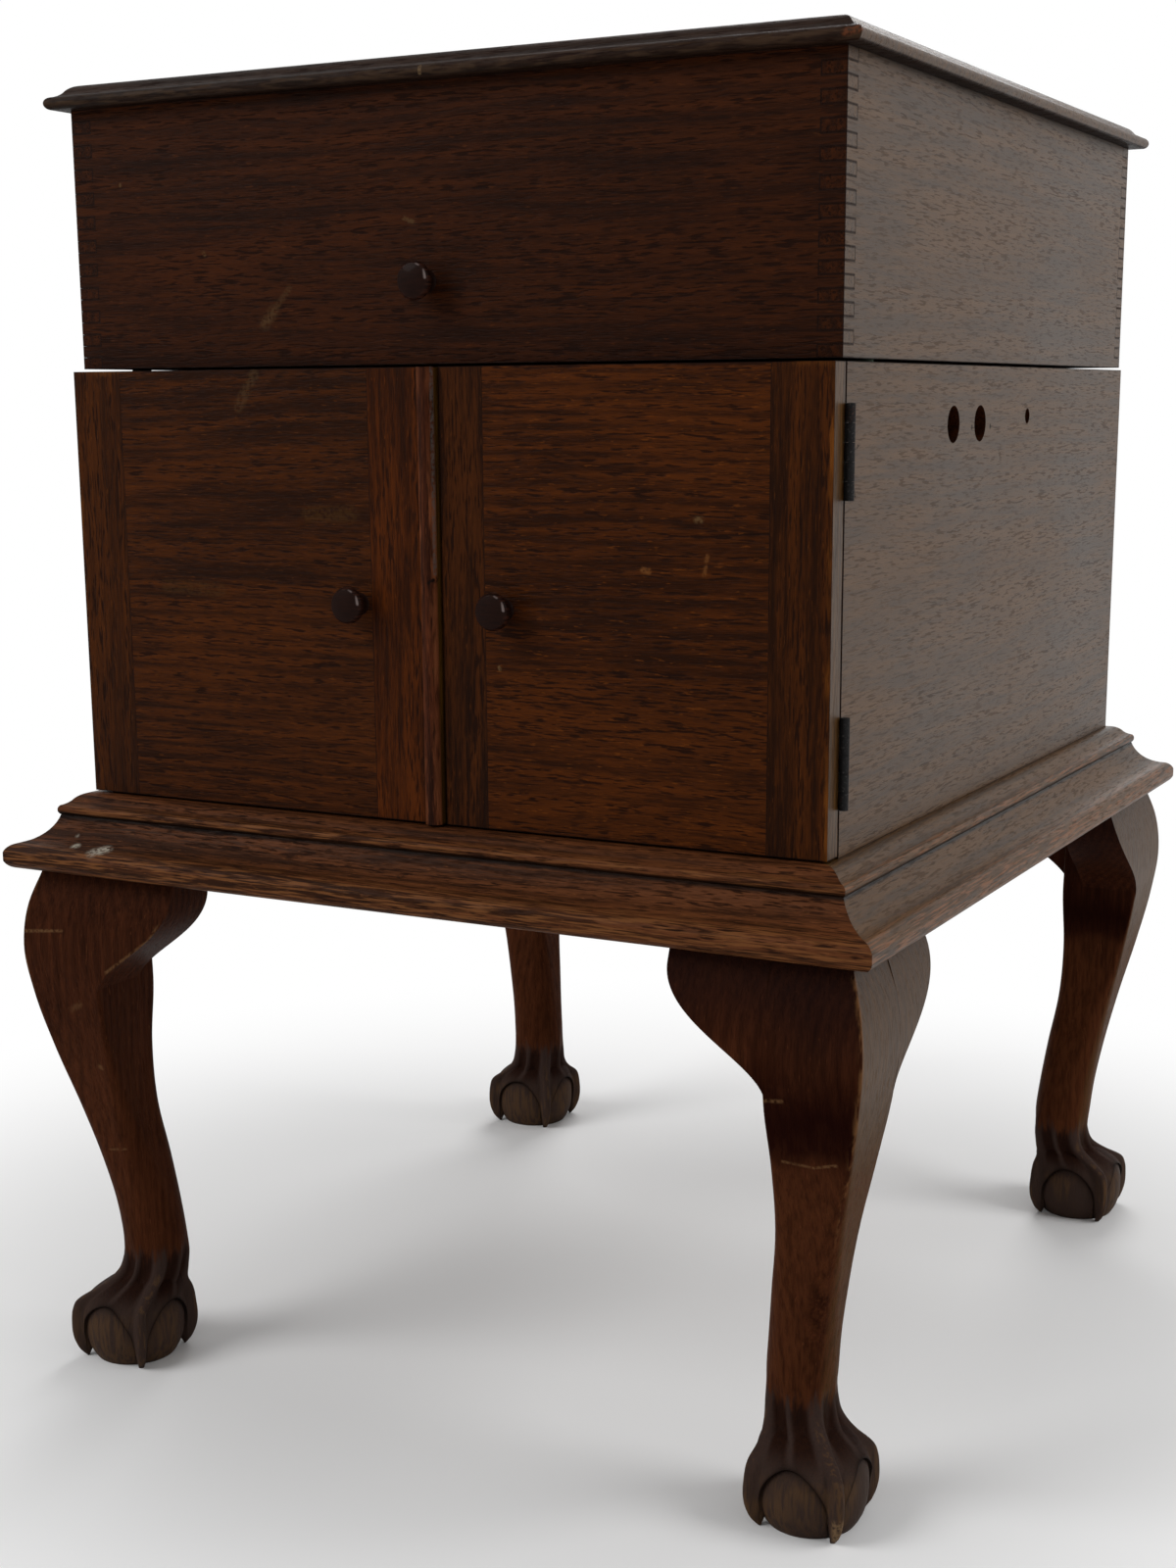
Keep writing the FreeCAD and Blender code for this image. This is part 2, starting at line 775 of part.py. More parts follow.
left_joint = -half_width + size("outer_stile")
left_inner_joint = -size("left_inner_stile")
right_edge = size("strip_width") + size("meeting_gap")
right_inner_joint = right_edge + size("right_inner_stile")
right_joint = half_width - size("outer_stile")
left_knob_x = left_inner_joint - size("left_knob_inset")
right_knob_x = right_inner_joint + size("right_knob_inset")
knob_height = door_bottom + size("door_knob_rise")
glue_line = size("glue_line")

left_door_parts = [
    stile("left_outer_stile", -half_width, left_joint),
    door_panel("left_panel", left_joint + glue_line, left_inner_joint - glue_line, left_knob_x),
    stile("left_inner_stile", ZERO, left_inner_joint),
    closing_strip(),
    knob("left_knob", left_knob_x, door_front, knob_height),
]
right_door_parts = [
    stile("right_inner_stile", right_edge, right_inner_joint),
    door_panel("right_panel", right_inner_joint + glue_line, right_joint - glue_line, right_knob_x),
    stile("right_outer_stile", half_width, right_joint),
    knob("right_knob", right_knob_x, door_front, knob_height),
]


# Hinges

FIXED_KNUCKLES = range(0, KNUCKLES, 2)
MOVING_KNUCKLES = range(1, KNUCKLES, 2)
UP = Vector(0, 0, 1)

knuckle_pitch = size("hinge_length") / KNUCKLES


def hinge_leaf(name, knuckles, tab, plates):
    """Leaf with its barrel along Z at the origin; tab and plates are (x0, y0, x1, y1)."""
    solids = []
    for index, (x0, y0, x1, y1) in enumerate(plates):
        solids.append(box(f"{name}_plate_{index}", x0, y0, ZERO, x1 - x0, y1 - y0, size("hinge_length")))
    x0, y0, x1, y1 = tab
    long = knuckle_pitch - size("knuckle_gap")
    for index in knuckles:
        foot = knuckle_pitch * index + size("knuckle_gap") / 2
        solids.append(box(f"{name}_tab_{index}", x0, y0, foot, x1 - x0, y1 - y0, long))
        solids.append(rod(f"{name}_knuckle_{index}", UP, ZERO, ZERO, foot, size("knuckle_radius"), long))
    bore = rod(f"{name}_bore", UP, ZERO, ZERO, ZERO, size("pin_radius") + size("pin_play"),
               size("hinge_length"))
    return cut(name, join(f"{name}_blank", *solids), bore)


hinge_axis_y = door_back + hinge_gap / 2
hinge_axis_x = half_width + knuckle_reach
hinge_feet = (door_bottom + size("lower_hinge_rise"),
              case_top - size("upper_hinge_drop") - size("hinge_length"))


def door_leaf(name, side, fixed, foot):
    """Leaf flat in the gap behind a door, on the case's edge or on the door's back."""
    near = size("leaf_play") / 2
    low = near if (side > 0) == fixed else -(near + size("leaf"))
    high = low + size("leaf")
    plate = (-(knuckle_reach + size("leaf_width")), low, -knuckle_reach, high)
    tab = (-knuckle_reach, low, ZERO, high)
    leaf = hinge_leaf(name, FIXED_KNUCKLES if fixed else MOVING_KNUCKLES, tab, [plate])
    place(leaf, hinge_axis_x * side, hinge_axis_y, foot, Rotation(UP, 0 if side > 0 else 180))
    return leaf


for place_name, side, door_parts in (("left", -1, left_door_parts), ("right", 1, right_door_parts)):
    fixed, moving, pins = [], [], []
    for index, foot in enumerate(hinge_feet):
        fixed.append(door_leaf(f"{place_name}_fixed_{index}", side, True, foot))
        moving.append(door_leaf(f"{place_name}_moving_{index}", side, False, foot))
        pins.append(rod(f"{place_name}_pin_{index}", UP, hinge_axis_x * side, hinge_axis_y, foot,
                        size("pin_radius"), size("hinge_length")))
    case_parts.append(group(f"{place_name}_hinge_case_leaves", *fixed))
    case_parts.append(group(f"{place_name}_hinge_pins", *pins))
    door_parts.append(group(f"{place_name}_hinge_door_leaves", *moving))

# The hood's hinges stand on the ledge behind the hood. A shoulder behind each barrel stops the
# hood's back when the hood is open.
axis_rise = size("leaf") + knuckle_reach
hood_axis_y = hood_back_y + knuckle_reach
hood_axis_z = case_top + axis_rise
hood_leaf_end = -(knuckle_reach + size("hood_leaf_width"))


def hood_leaf(name, fixed, x):
    """Leaf of a hood hinge, drawn with X towards the back and Y up."""
    if fixed:
        low = -axis_rise
        behind = knuckle_reach + size("stop_width")
        tab = (-size("pin_radius"), low, size("pin_radius"), ZERO)
        plates = [(hood_leaf_end, low, behind, low + size("leaf")),
                  (knuckle_reach, low, behind, size("knuckle_radius"))]
        leaf = hinge_leaf(name, FIXED_KNUCKLES, tab, plates)
    else:
        high = hinge_gap - axis_rise
        low = high - size("leaf")
        tab = (-knuckle_reach, low, ZERO, -size("pin_radius"))
        leaf = hinge_leaf(name, MOVING_KNUCKLES, tab, [(hood_leaf_end, low, -knuckle_reach, high)])
    place(leaf, x, hood_axis_y, hood_axis_z, Rotation(Vector(1, 1, 1), 120))
    return leaf


hood_hinge_starts = (-half_width + size("hood_hinge_inset"),
                     half_width - size("hood_hinge_inset") - size("hinge_length"))
fixed, moving, pins = [], [], []
for index, start in enumerate(hood_hinge_starts):
    fixed.append(hood_leaf(f"hood_fixed_{index}", True, start))
    moving.append(hood_leaf(f"hood_moving_{index}", False, start))
    pins.append(rod(f"hood_pin_{index}", Vector(1, 0, 0), start, hood_axis_y, hood_axis_z,
                    size("pin_radius"), size("hinge_length")))
case_parts.append(group("hood_hinge_case_leaves", *fixed))
case_parts.append(group("hood_hinge_pins", *pins))
hood_parts.append(group("hood_hinge_hood_leaves", *moving))


# Check and write every piece

doc.recompute()
failed = [thing.Name for thing in doc.Objects if {"Invalid", "Error"} & set(thing.State)]
if failed:
    raise RuntimeError(f"features failed: {failed}")

pieces = case_parts + hood_parts + left_door_parts + right_door_parts
for piece in pieces:
    if piece.Shape.isNull() or not piece.Shape.isValid():
        raise RuntimeError(f"{piece.Label} has no valid shape")

os.makedirs("parts", exist_ok=True)
for piece in pieces:
    piece.Shape.exportStep(f"parts/{piece.Label}.step")
print(f"{len(pieces)} pieces written")
print(f"door hinge axes at x +-{hinge_axis_x.value:.2f}, y {hinge_axis_y.value:.2f}")
print(f"hood hinge axis at y {hood_axis_y.value:.2f}, z {hood_axis_z.value:.2f}")
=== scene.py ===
# %% [markdown]
# # An old oak cabinet on ball-and-claw feet
#
# The boards, doors, mouldings and hinges of this cabinet come from a CAD model, at their real size.
# This lesson dresses them: it sets up the camera and the light, works out stained and worn oak as
# shader expressions, carves finer legs with numpy, and adds the small things, such as screws.

import math

import bmesh
import bpy
import numpy as np
from mathutils import Matrix, Vector


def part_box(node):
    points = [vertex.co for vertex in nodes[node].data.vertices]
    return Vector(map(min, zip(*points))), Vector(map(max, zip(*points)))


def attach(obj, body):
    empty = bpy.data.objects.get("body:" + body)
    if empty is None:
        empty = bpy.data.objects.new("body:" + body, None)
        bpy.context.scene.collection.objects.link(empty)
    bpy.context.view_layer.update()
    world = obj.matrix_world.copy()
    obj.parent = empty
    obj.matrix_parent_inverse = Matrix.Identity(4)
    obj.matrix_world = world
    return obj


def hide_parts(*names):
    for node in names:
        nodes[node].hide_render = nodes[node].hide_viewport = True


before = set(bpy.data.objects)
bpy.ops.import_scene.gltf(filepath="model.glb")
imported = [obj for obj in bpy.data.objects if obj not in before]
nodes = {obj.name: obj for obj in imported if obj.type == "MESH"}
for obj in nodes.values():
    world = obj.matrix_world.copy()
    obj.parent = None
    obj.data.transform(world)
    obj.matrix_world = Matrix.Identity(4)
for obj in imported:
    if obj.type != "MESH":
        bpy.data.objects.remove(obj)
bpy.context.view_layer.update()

# %% [markdown]
# ## The camera
#
# The picture was taken from the front right, with the eye level with the tops of the doors and turned
# down a little. The place and the turn of the camera could be tried by eye, but the straight edges of
# the cabinet give them exactly: they were fitted to the corners of the case, and the numbers below are
# that fit.

# %% Camera
IMAGE = (1200, 1600)
EYE = Vector((0.6730, -1.3376, 0.6248))
YAW, PITCH, ROLL = 0.49176, -0.20928, -0.00638
FOCAL_PIXELS = 2221.9
AXIS_PIXELS_DOWN = 880
SENSOR = 36

forward = Vector((-math.sin(YAW) * math.cos(PITCH), math.cos(YAW) * math.cos(PITCH), math.sin(PITCH)))
level = Vector((math.cos(YAW), math.sin(YAW), 0))
upright = level.cross(forward)
across = level * math.cos(ROLL) + upright * math.sin(ROLL)
upward = upright * math.cos(ROLL) - level * math.sin(ROLL)

lens = bpy.data.cameras.new("camera")
lens.sensor_width = SENSOR
lens.lens = SENSOR * FOCAL_PIXELS / IMAGE[1]
lens.shift_y = (AXIS_PIXELS_DOWN - IMAGE[1] / 2) / IMAGE[1]
camera = bpy.data.objects.new("camera", lens)
turn = Matrix((across, upward, -forward)).transposed().to_4x4()
camera.matrix_world = Matrix.Translation(EYE) @ turn
bpy.context.collection.objects.link(camera)
bpy.context.scene.camera = camera
bpy.context.scene.view_settings.view_transform = "Standard"
print("Camera lens:", round(lens.lens, 2), "mm, shift:", round(lens.shift_y, 4))

# %% [markdown]
# ## Shader expressions
#
# A procedural finish is arithmetic on the place of a point, and node after node of it is hard to read.
# So a shader socket is wrapped in a small class whose operators add the Math nodes, and every other
# node comes from one method. A finish then reads like a formula.

# %% Wires and finishes
class Wire:
    """A socket that stands in Python arithmetic: each operator adds one Math node."""

    def __init__(self, finish, socket):
        self.finish, self.socket = finish, socket

    def math(self, operation, *values):
        """One Math node with these values or links."""
        return self.finish.node("ShaderNodeMath", {"operation": operation}, dict(enumerate(values)))

    def __add__(self, other):
        return self.math("ADD", self, other)

    def __radd__(self, other):
        return self.math("ADD", other, self)

    def __sub__(self, other):
        return self.math("SUBTRACT", self, other)

    def __rsub__(self, other):
        return self.math("SUBTRACT", other, self)

    def __mul__(self, other):
        return self.math("MULTIPLY", self, other)

    def __rmul__(self, other):
        return self.math("MULTIPLY", other, self)

    def __truediv__(self, other):
        return self.math("DIVIDE", self, other)

    def __abs__(self):
        return self.math("ABSOLUTE", self)

    def under(self, other):
        """The smaller of the two."""
        return self.math("MINIMUM", self, other)

    def over(self, other):
        """The larger of the two."""
        return self.math("MAXIMUM", self, other)

    def step(self, low, high):
        """0 below low, 1 above high and a smooth rise between; it falls where low is above high."""
        settings = {"interpolation_type": "SMOOTHSTEP"}
        return self.finish.node("ShaderNodeMapRange", settings, {0: self, 1: low, 2: high})


class Finish:
    """A procedural material. Its patterns read Object coordinates, which are the frame's metres."""

    def __init__(self, name, block=None):
        self.material = block or bpy.data.materials.new(name)
        self.material.use_nodes = True
        self.tree = self.material.node_tree
        self.tree.nodes.clear()
        self.place = self.node("ShaderNodeTexCoord", out="Object")
        self.x, self.y, self.z = (self.axis(self.place, letter) for letter in "XYZ")

    def node(self, kind, settings={}, inputs={}, out=0):
        """Adds one node: its settings first, then the values or links of its sockets."""
        made = self.tree.nodes.new(kind)
        for name, value in settings.items():
            setattr(made, name, value)
        for name, value in inputs.items():
            if isinstance(value, Wire):
                self.tree.links.new(value.socket, made.inputs[name])
            else:
                made.inputs[name].default_value = value
        return Wire(self, made.outputs[out]) if made.outputs else made

    def axis(self, vector, letter):
        """One of the three numbers of a vector."""
        return self.node("ShaderNodeSeparateXYZ", {}, {0: vector}, out=letter)

    def vector(self, operation, *values, out=0):
        """One Vector Math node with these values or links."""
        return self.node("ShaderNodeVectorMath", {"operation": operation}, dict(enumerate(values)), out)

    def noise(self, place, stretch, seed=0.0, detail=2.0, out=0):
        """Noise whose grains are 1 / stretch metres long along each axis."""
        moved = self.vector("MULTIPLY_ADD", place, stretch, (seed, 1.7 * seed, 0.6 * seed))
        return self.node("ShaderNodeTexNoise", {}, {"Vector": moved, "Scale": 1, "Detail": detail}, out)

    def mix(self, share, first, second):
        """The first colour where share is 0 and the second where it is 1."""
        first, second = (c if isinstance(c, Wire) else (*c, 1) for c in (first, second))
        return self.node("ShaderNodeMix", {"data_type": "RGBA"}, {0: share, 6: first, 7: second}, out=2)

    def surface(self, colour, roughness, height, depth, gloss):
        """Ends the finish in a Principled shader, with a bump of that depth in metres.

        gloss holds the shader's other sockets, by name."""
        bump = self.node("ShaderNodeBump", {}, {"Height": height, "Distance": depth})
        inputs = {"Base Color": colour, "Roughness": roughness, "Normal": bump, **gloss}
        shader = self.node("ShaderNodeBsdfPrincipled", {}, inputs)
        self.node("ShaderNodeOutputMaterial", {}, {"Surface": shader})
        return self.material


# %% [markdown]
# ## Floor and light
#
# The cabinet stands in front of plain white. The floor is pale and takes the soft shadow of the legs,
# and away from the cabinet it fades into the white of the world, so that no horizon shows. The world
# is white to the camera and to reflections, and dimmer as a light. Three large lamps do the rest: one
# from the front left, one from the right and one from behind, at a level where a colour of 0.2 looks
# like 0.2.

# %% Floor
FLOOR_RADIUS = 9.0
FLOOR_RINGS, FLOOR_COLUMNS = (0.0, 0.6, 1.2, 3.0, FLOOR_RADIUS), 49
FLOOR_FADE = (0.36, 0.85)
FLOOR_DULL, FLOOR_PALE = (0.86, 0.86, 0.86), (0.90, 0.90, 0.90)
WHITE = (1.0, 1.0, 1.0)
MERGE_WITHIN = 1e-6


def seen_directly(finish):
    """1 for rays from the camera, and for those that a gloss or a glass sends on."""
    rays = [finish.node("ShaderNodeLightPath", out=f"Is {kind} Ray")
            for kind in ("Camera", "Glossy", "Transmission")]
    return rays[0].over(rays[1]).over(rays[2])


def floor_disc():
    """Rings of points: the radius grows along the rows and the angle along the columns."""
    radius = np.array(FLOOR_RINGS)[:, None]
    angle = np.linspace(0, 2 * np.pi, FLOOR_COLUMNS)[None, :]
    return np.stack([radius * np.cos(angle), radius * np.sin(angle), 0 * radius * angle], axis=-1)


def grid_faces(rows, columns, start=0):
    """Four corners for each cell of a grid whose points are counted row by row."""
    corner = np.arange(rows * columns).reshape(rows, columns)[:-1, :-1].ravel() + start
    return np.stack([corner, corner + 1, corner + columns + 1, corner + columns], axis=1)


def new_piece(name, surfaces, material, fields={}):
    """One mesh from several grids of points, each an array of rows, columns and 3 coordinates.

    fields holds named numbers for the points, as one array for each grid. Points at the same place, on
    seams and at poles, are merged, and the faces are turned outwards."""
    faces, start = [], 0
    for points in surfaces:
        faces.append(grid_faces(*points.shape[:2], start))
        start += points.shape[0] * points.shape[1]
    mesh = bpy.data.meshes.new(name)
    mesh.from_pydata(np.concatenate([p.reshape(-1, 3) for p in surfaces]), [], np.concatenate(faces))
    for field, arrays in fields.items():
        numbers = np.concatenate([array.ravel() for array in arrays])
        mesh.attributes.new(field, "FLOAT", "POINT").data.foreach_set("value", numbers)
    shell = bmesh.new()
    shell.from_mesh(mesh)
    bmesh.ops.remove_doubles(shell, verts=shell.verts, dist=MERGE_WITHIN)
    bmesh.ops.recalc_face_normals(shell, faces=shell.faces)
    shell.to_mesh(mesh)
    shell.free()
    mesh.polygons.foreach_set("use_smooth", np.full(len(mesh.polygons), True))
    mesh.materials.append(material)
    piece = bpy.data.objects.new(name, mesh)
    bpy.context.collection.objects.link(piece)
    return piece


paper = Finish("floor_paper")
shade = paper.noise(paper.place, (3.0, 3.0, 3.0))
pale = paper.mix(shade, FLOOR_DULL, FLOOR_PALE)
floor_shader = paper.node("ShaderNodeBsdfDiffuse", {}, {"Color": pale})
glow = paper.node("ShaderNodeEmission", {}, {"Color": (*WHITE, 1), "Strength": 1.0})
away = paper.vector("LENGTH", paper.place, out="Value").step(*FLOOR_FADE)
faded = paper.node("ShaderNodeMixShader", {}, {0: away * seen_directly(paper), 1: floor_shader, 2: glow})
paper.node("ShaderNodeOutputMaterial", {}, {"Surface": faded})
floor = new_piece("floor", [floor_disc()[:, ::-1]], paper.material)
print("Floor:", 2 * FLOOR_RADIUS, "m across")

# %% World and lamps
WORLD_LIGHT = 0.40
# Place, width of the disc and power in watts
LAMPS = {
    "front_left_lamp": ((-1.7, -2.1, 2.3), 1.8, 42),
    "right_lamp": ((2.3, 0.3, 1.9), 1.6, 30),
    "back_lamp": ((-0.6, 2.4, 2.2), 1.8, 36),
}
AIM = Vector((0, 0, 0.45))

world = bpy.data.worlds.new("studio")
bpy.context.scene.world = world
sky = Finish("studio", world)
dim = sky.node("ShaderNodeBackground", {}, {"Color": (*WHITE, 1), "Strength": WORLD_LIGHT})
bright = sky.node("ShaderNodeBackground", {}, {"Color": (*WHITE, 1), "Strength": 1.0})
both = sky.node("ShaderNodeMixShader", {}, {0: seen_directly(sky), 1: dim, 2: bright})
sky.node("ShaderNodeOutputWorld", {}, {"Surface": both})

for name, (place, size, watts) in LAMPS.items():
    light = bpy.data.lights.new(name, "AREA")
    light.shape, light.size, light.energy = "DISK", size, watts
    lamp = bpy.data.objects.new(name, light)
    aim = (AIM - Vector(place)).to_track_quat("-Z", "Y")
    lamp.matrix_world = Matrix.Translation(place) @ aim.to_matrix().to_4x4()
    bpy.context.collection.objects.link(lamp)
print("Lamps:", ", ".join(LAMPS))

# %% [markdown]
# ## Stained oak
#
# Every board is oak: fibres along the board, pale and dark growth rings, and rows of open pores that
# hold the dark stain as short dashes. An image of oak could be mapped on each face, but it would repeat
# and its joints would show. Noise in space, stretched along the grain, runs through the board as
# real fibres do, so the end grain shows dots where the face shows dashes.

# %% Grain
GRAIN_X, GRAIN_Y, GRAIN_Z = 0, 1, 2
STAIN = (0.008, 0.0025, 0.0012)


def stretch(grain, along, across):
    """Grains per metre on the three axes, for fibres that follow one of them."""
    return [along if axis == grain else across for axis in range(3)]


def oak_grain(f, grain, seed, ring, pith):
    """The fields of a board: rings, streaks, threads and pores, each from 0 to 1.

    The place is first moved sideways by slow noise, so that fibres wander. Rings are the distance from
    a pith line along the grain, counted in ring widths. Pores are stretched noise above a threshold,
    and there are more of them in the pale half of each ring."""
    wander = f.noise(f.place, stretch(grain, 3.5, 16), seed, detail=1, out=1)
    place = f.vector("MULTIPLY_ADD", wander, stretch(grain, 0, 0.010), f.place)
    off = f.vector("MULTIPLY", f.vector("SUBTRACT", place, pith), stretch(grain, 0.09, 1))
    count = f.vector("LENGTH", off, out="Value") / ring + f.noise(place, stretch(grain, 4, 25), seed + 3)
    rings = abs(count.math("FRACT", count) - 0.5) * 2
    streak = f.noise(place, stretch(grain, 16, 330), seed + 5, detail=4)
    dash = f.noise(place, stretch(grain, 75, 760), seed + 7, detail=2)
    thread = f.noise(place, stretch(grain, 100, 1500), seed + 9, detail=1)
    pores = dash.step(0.51, 0.64) * (0.5 + 0.5 * rings.step(0.2, 0.8)) + 0.5 * thread.step(0.56, 0.70)
    return rings, streak, thread, pores.under(1)


# %% [markdown]
# ## Edges, dirt and marks
#
# Two things tell an old board from a new one: the dirt line along its joints, and the paler wood where
# hands and knocks have rubbed its corners. Both need the distance to the board's nearest edge. A
# bevelled mesh could give it, but a board is a box, so the distance is the middle one of the three
# distances to the faces of that box. Single scratches and spots are distances to a line or to a point.

# %% Edges and marks
COMB_PITCHES = 11
COMB_LINE = (0.0010, 0.0004)
COMB_FADE = 0.0004


def arris(f, node):
    """Metres from a point on the skin of a boxy piece to the nearest edge of its box."""
    gaps = [(high - low) / 2 - abs(axis - (high + low) / 2)
            for axis, low, high in zip((f.x, f.y, f.z), *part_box(node))]
    first, second, third = gaps
    return first.under(second).over(first.over(second).under(third))


def stroke(f, start, stop, width):
    """1 on the line between two points and 0 at width from it."""
    start, along = Vector(start), Vector(stop) - Vector(start)
    share = f.vector("DOT_PRODUCT", f.vector("SUBTRACT", f.place, start), along, out="Value")
    share = (share / max(along.length_squared, 1e-12)).over(0).under(1)
    near = f.vector("MULTIPLY_ADD", share, along, start)
    return f.vector("DISTANCE", f.place, near, out="Value").step(width, 0.3 * width)


def comb_lines(f):
    """Dark outlines of the comb joints: lines between the fingers, and where the fingers end.

    Each pitch holds a finger of the side board and, above it, one of the front or back board. A finger's
    end shows on the face across the corner, so a board's face bears the ends of the other's fingers."""
    low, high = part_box("hood_front")
    board = high.y - low.y
    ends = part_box("hood_left_side")
    finger = (high.z - low.z) / COMB_PITCHES / 2
    count = (f.z - low.z) / finger
    between = abs(count.math("FRACT", count + 0.5) - 0.5) * finger
    pitches = count / 2
    upper = pitches.math("FRACT", pitches).step(0.499, 0.501)
    from_x = high.x - abs(f.x)
    from_y = (ends[1].y - ends[0].y) / 2 - abs(f.y - (ends[1].y + ends[0].y) / 2)
    in_corner = from_x.step(board + COMB_FADE, board) * from_y.step(board + COMB_FADE, board)
    root = (abs(from_x - board) + upper).under(abs(from_y - board) + (1 - upper))
    return in_corner * between.under(root).step(*COMB_LINE)


# %% [markdown]
# ## One oak for all boards
#
# The fronts have kept a dark red stain. Every face that looks to either side is painted a paler grey: a
# painted sheen, for the light that its old wax gives back at a low angle, over a little grey dust. Both
# the grey and the wax hang on the direction of the face and not on the board: the ends of the comb fingers
# then match the side that they are in. The wax is the shader's coat.

# %% Oak
# Painted sheen: the paler grey of faces that look to either side, and the normal's X over which it comes in
SHEEN_GREY = (0.052, 0.0215, 0.0030)
SHEEN_FACING = (0.55, 0.8)
BODY_GLOSS = 0.04
WAX = 0.53
WAX_ROUGHNESS = 0.42
DIRT_LINE = (0.0007, 0.0002)
WORN_EDGE, WORN_RAGGED = (0.0034, 0.0004), 0.012
BUMP_DEPTH = 0.0002


def shades(colour, *gains):
    """A colour whose three parts are multiplied by one gain, or each by its own."""
    return [part * gain for part, gain in zip(colour, gains if len(gains) > 1 else 3 * gains)]


def oak(name, grain, tint, seed, pith=(0, 0, 0.2), ring=0.005, edge_of=None, worn=(), wear=0.5, contrast=1.0,
        flecks=0.3, marks=(), comb=False, wax=WAX, sheen_range=SHEEN_FACING, pored=0.86, gloss=BODY_GLOSS, extra=None):
    """Stained oak of a mean colour, with a grime line along its edges, worn places and marks.

    A worn place is an axis and the height of a plane across it. A mark is a start, a stop, a width, a
    colour and a strength. extra changes the colour before the marks, and gives it back with the share
    of the wax that is lost there. Faces whose normal's X lies beyond the range given for the sheen are
    painted a paler grey, a painted sheen, and waxed, but grime lines and marks bear no wax. pored is how
    dark the pores are."""
    f = Finish(name)
    rings, streak, thread, pores = oak_grain(f, grain, seed, ring, pith)
    cloud = f.noise(f.place, stretch(grain, 5, 13), seed + 11)
    tone = 0.5 + contrast * (0.30 * (rings - 0.5) + 1.15 * (streak - 0.5) + 0.8 * (cloud - 0.5)
                             + 0.8 * (thread - 0.5))
    tone = tone.step(0.05, 0.95)
    facing = f.node("ShaderNodeTexCoord", out="Normal")
    # The painted sheen: faces that look to either side take the paler grey in place of the stain
    sheen_side = abs(f.axis(facing, "X")).step(*sheen_range)
    front = f.mix(tone, shades(tint, 0.45), shades(tint, 1.9))
    side = f.mix(tone, shades(SHEEN_GREY, 0.6), shades(SHEEN_GREY, 1.5))
    colour = f.mix(sheen_side, front, side)
    colour = f.mix(pored * pores * (1 - 0.55 * sheen_side), colour, STAIN)
    fleck = f.noise(f.place, stretch(grain, 130, 900), seed + 23, detail=2).step(0.64, 0.74)
    colour = f.mix(flecks * (fleck * (1 - sheen_side)), colour, shades(tint, 4.5, 5, 5))
    bare = [0.24 * pores]
    if edge_of:
        bare.append(0.8 * arris(f, edge_of).step(*DIRT_LINE))
        colour = f.mix(bare[-1], colour, STAIN)
    if comb:
        bare.append(0.8 * comb_lines(f))
        colour = f.mix(bare[-1], colour, STAIN)
    ragged = f.noise(f.place, stretch(grain, 60, 400), seed + 13, detail=3)
    patch = f.noise(f.place, (25, 25, 25), seed + 17).step(0.62 - 0.3 * wear, 0.68)
    for axis, plane in worn:
        near = abs((f.x, f.y, f.z)[axis] - plane) + WORN_RAGGED * (ragged - 0.5)
        rubbed = near.step(*WORN_EDGE) * patch * (1 - sheen_side)
        colour = f.mix(wear * rubbed, colour, shades(tint, 4.5, 5.5, 6))
    if extra:
        colour, unwaxed = extra(f, colour, ragged)
        bare.append(unwaxed)
    for start, stop, width, paint, strength in marks:
        faint = stroke(f, start, stop, width) * f.noise(f.place, (500, 500, 500), seed + 19).step(0.3, 0.6)
        bare.append(strength * faint)
        colour = f.mix(bare[-1], colour, paint)
    coat = wax * sheen_side
    for share in bare:
        coat = coat * (1 - share)
    roughness = 0.46 + 0.2 * pores + 0.25 * (cloud - 0.5)
    sheen = {"Specular IOR Level": gloss, "Coat Weight": coat, "Coat Roughness": WAX_ROUGHNESS}
    return f.surface(colour, roughness, 0.5 * thread - pores, BUMP_DEPTH, sheen)


def dress(node, material):
    """Gives a CAD node its finish. The mesh stays as it is."""
    slots = nodes[node].data.materials
    slots.clear()
    slots.append(material)


# %% [markdown]
# ## Boards of the case, the hood and the doors
#
# Each board was cut from its own plank, so each has its own seed, pith and colour. They could share one
# finish, but then the rings would run on from board to board, as they do in a solid block. The marks are
# those of this cabinet: pale smears on the hood and a door, a chip at the top's corner, nail cracks and
# old screw holes in the right side.

# %% Boards
SCUFF, OCHRE, ORANGE = (0.10, 0.055, 0.022), (0.062, 0.026, 0.006), (0.15, 0.055, 0.014)
CRACK = (0.003, 0.0015, 0.001)
HOOD_MARKS = [
    ((-0.112, -0.2685, 0.6698), (-0.094, -0.2685, 0.6887), 0.0030, SCUFF, 0.24),
    ((-0.112, -0.2685, 0.6698), (-0.106, -0.2685, 0.6760), 0.0056, SCUFF, 0.28),
    ((-0.155, -0.2685, 0.7112), (-0.154, -0.2685, 0.7100), 0.0016, SCUFF, 0.6),
    ((-0.215, -0.2685, 0.7530), (-0.215, -0.2685, 0.7520), 0.0013, SCUFF, 0.6),
    ((-0.014, -0.2685, 0.7250), (-0.008, -0.2685, 0.7225), 0.0020, SCUFF, 0.5),
]
SIDE_MARKS = [
    ((0.25, -0.2535, 0.6160), (0.25, -0.2520, 0.6080), 0.0010, CRACK, 0.9),
    ((0.25, -0.2480, 0.5990), (0.25, -0.2430, 0.6010), 0.0013, CRACK, 0.9),
    ((0.25, -0.2500, 0.5800), (0.25, -0.2480, 0.5740), 0.0012, CRACK, 0.9),
    ((0.25, -0.0585, 0.6075), (0.25, -0.0585, 0.6075), 0.0024, CRACK, 1.0),
    ((0.25, -0.0229, 0.6075), (0.25, -0.0229, 0.6075), 0.0024, CRACK, 1.0),
]
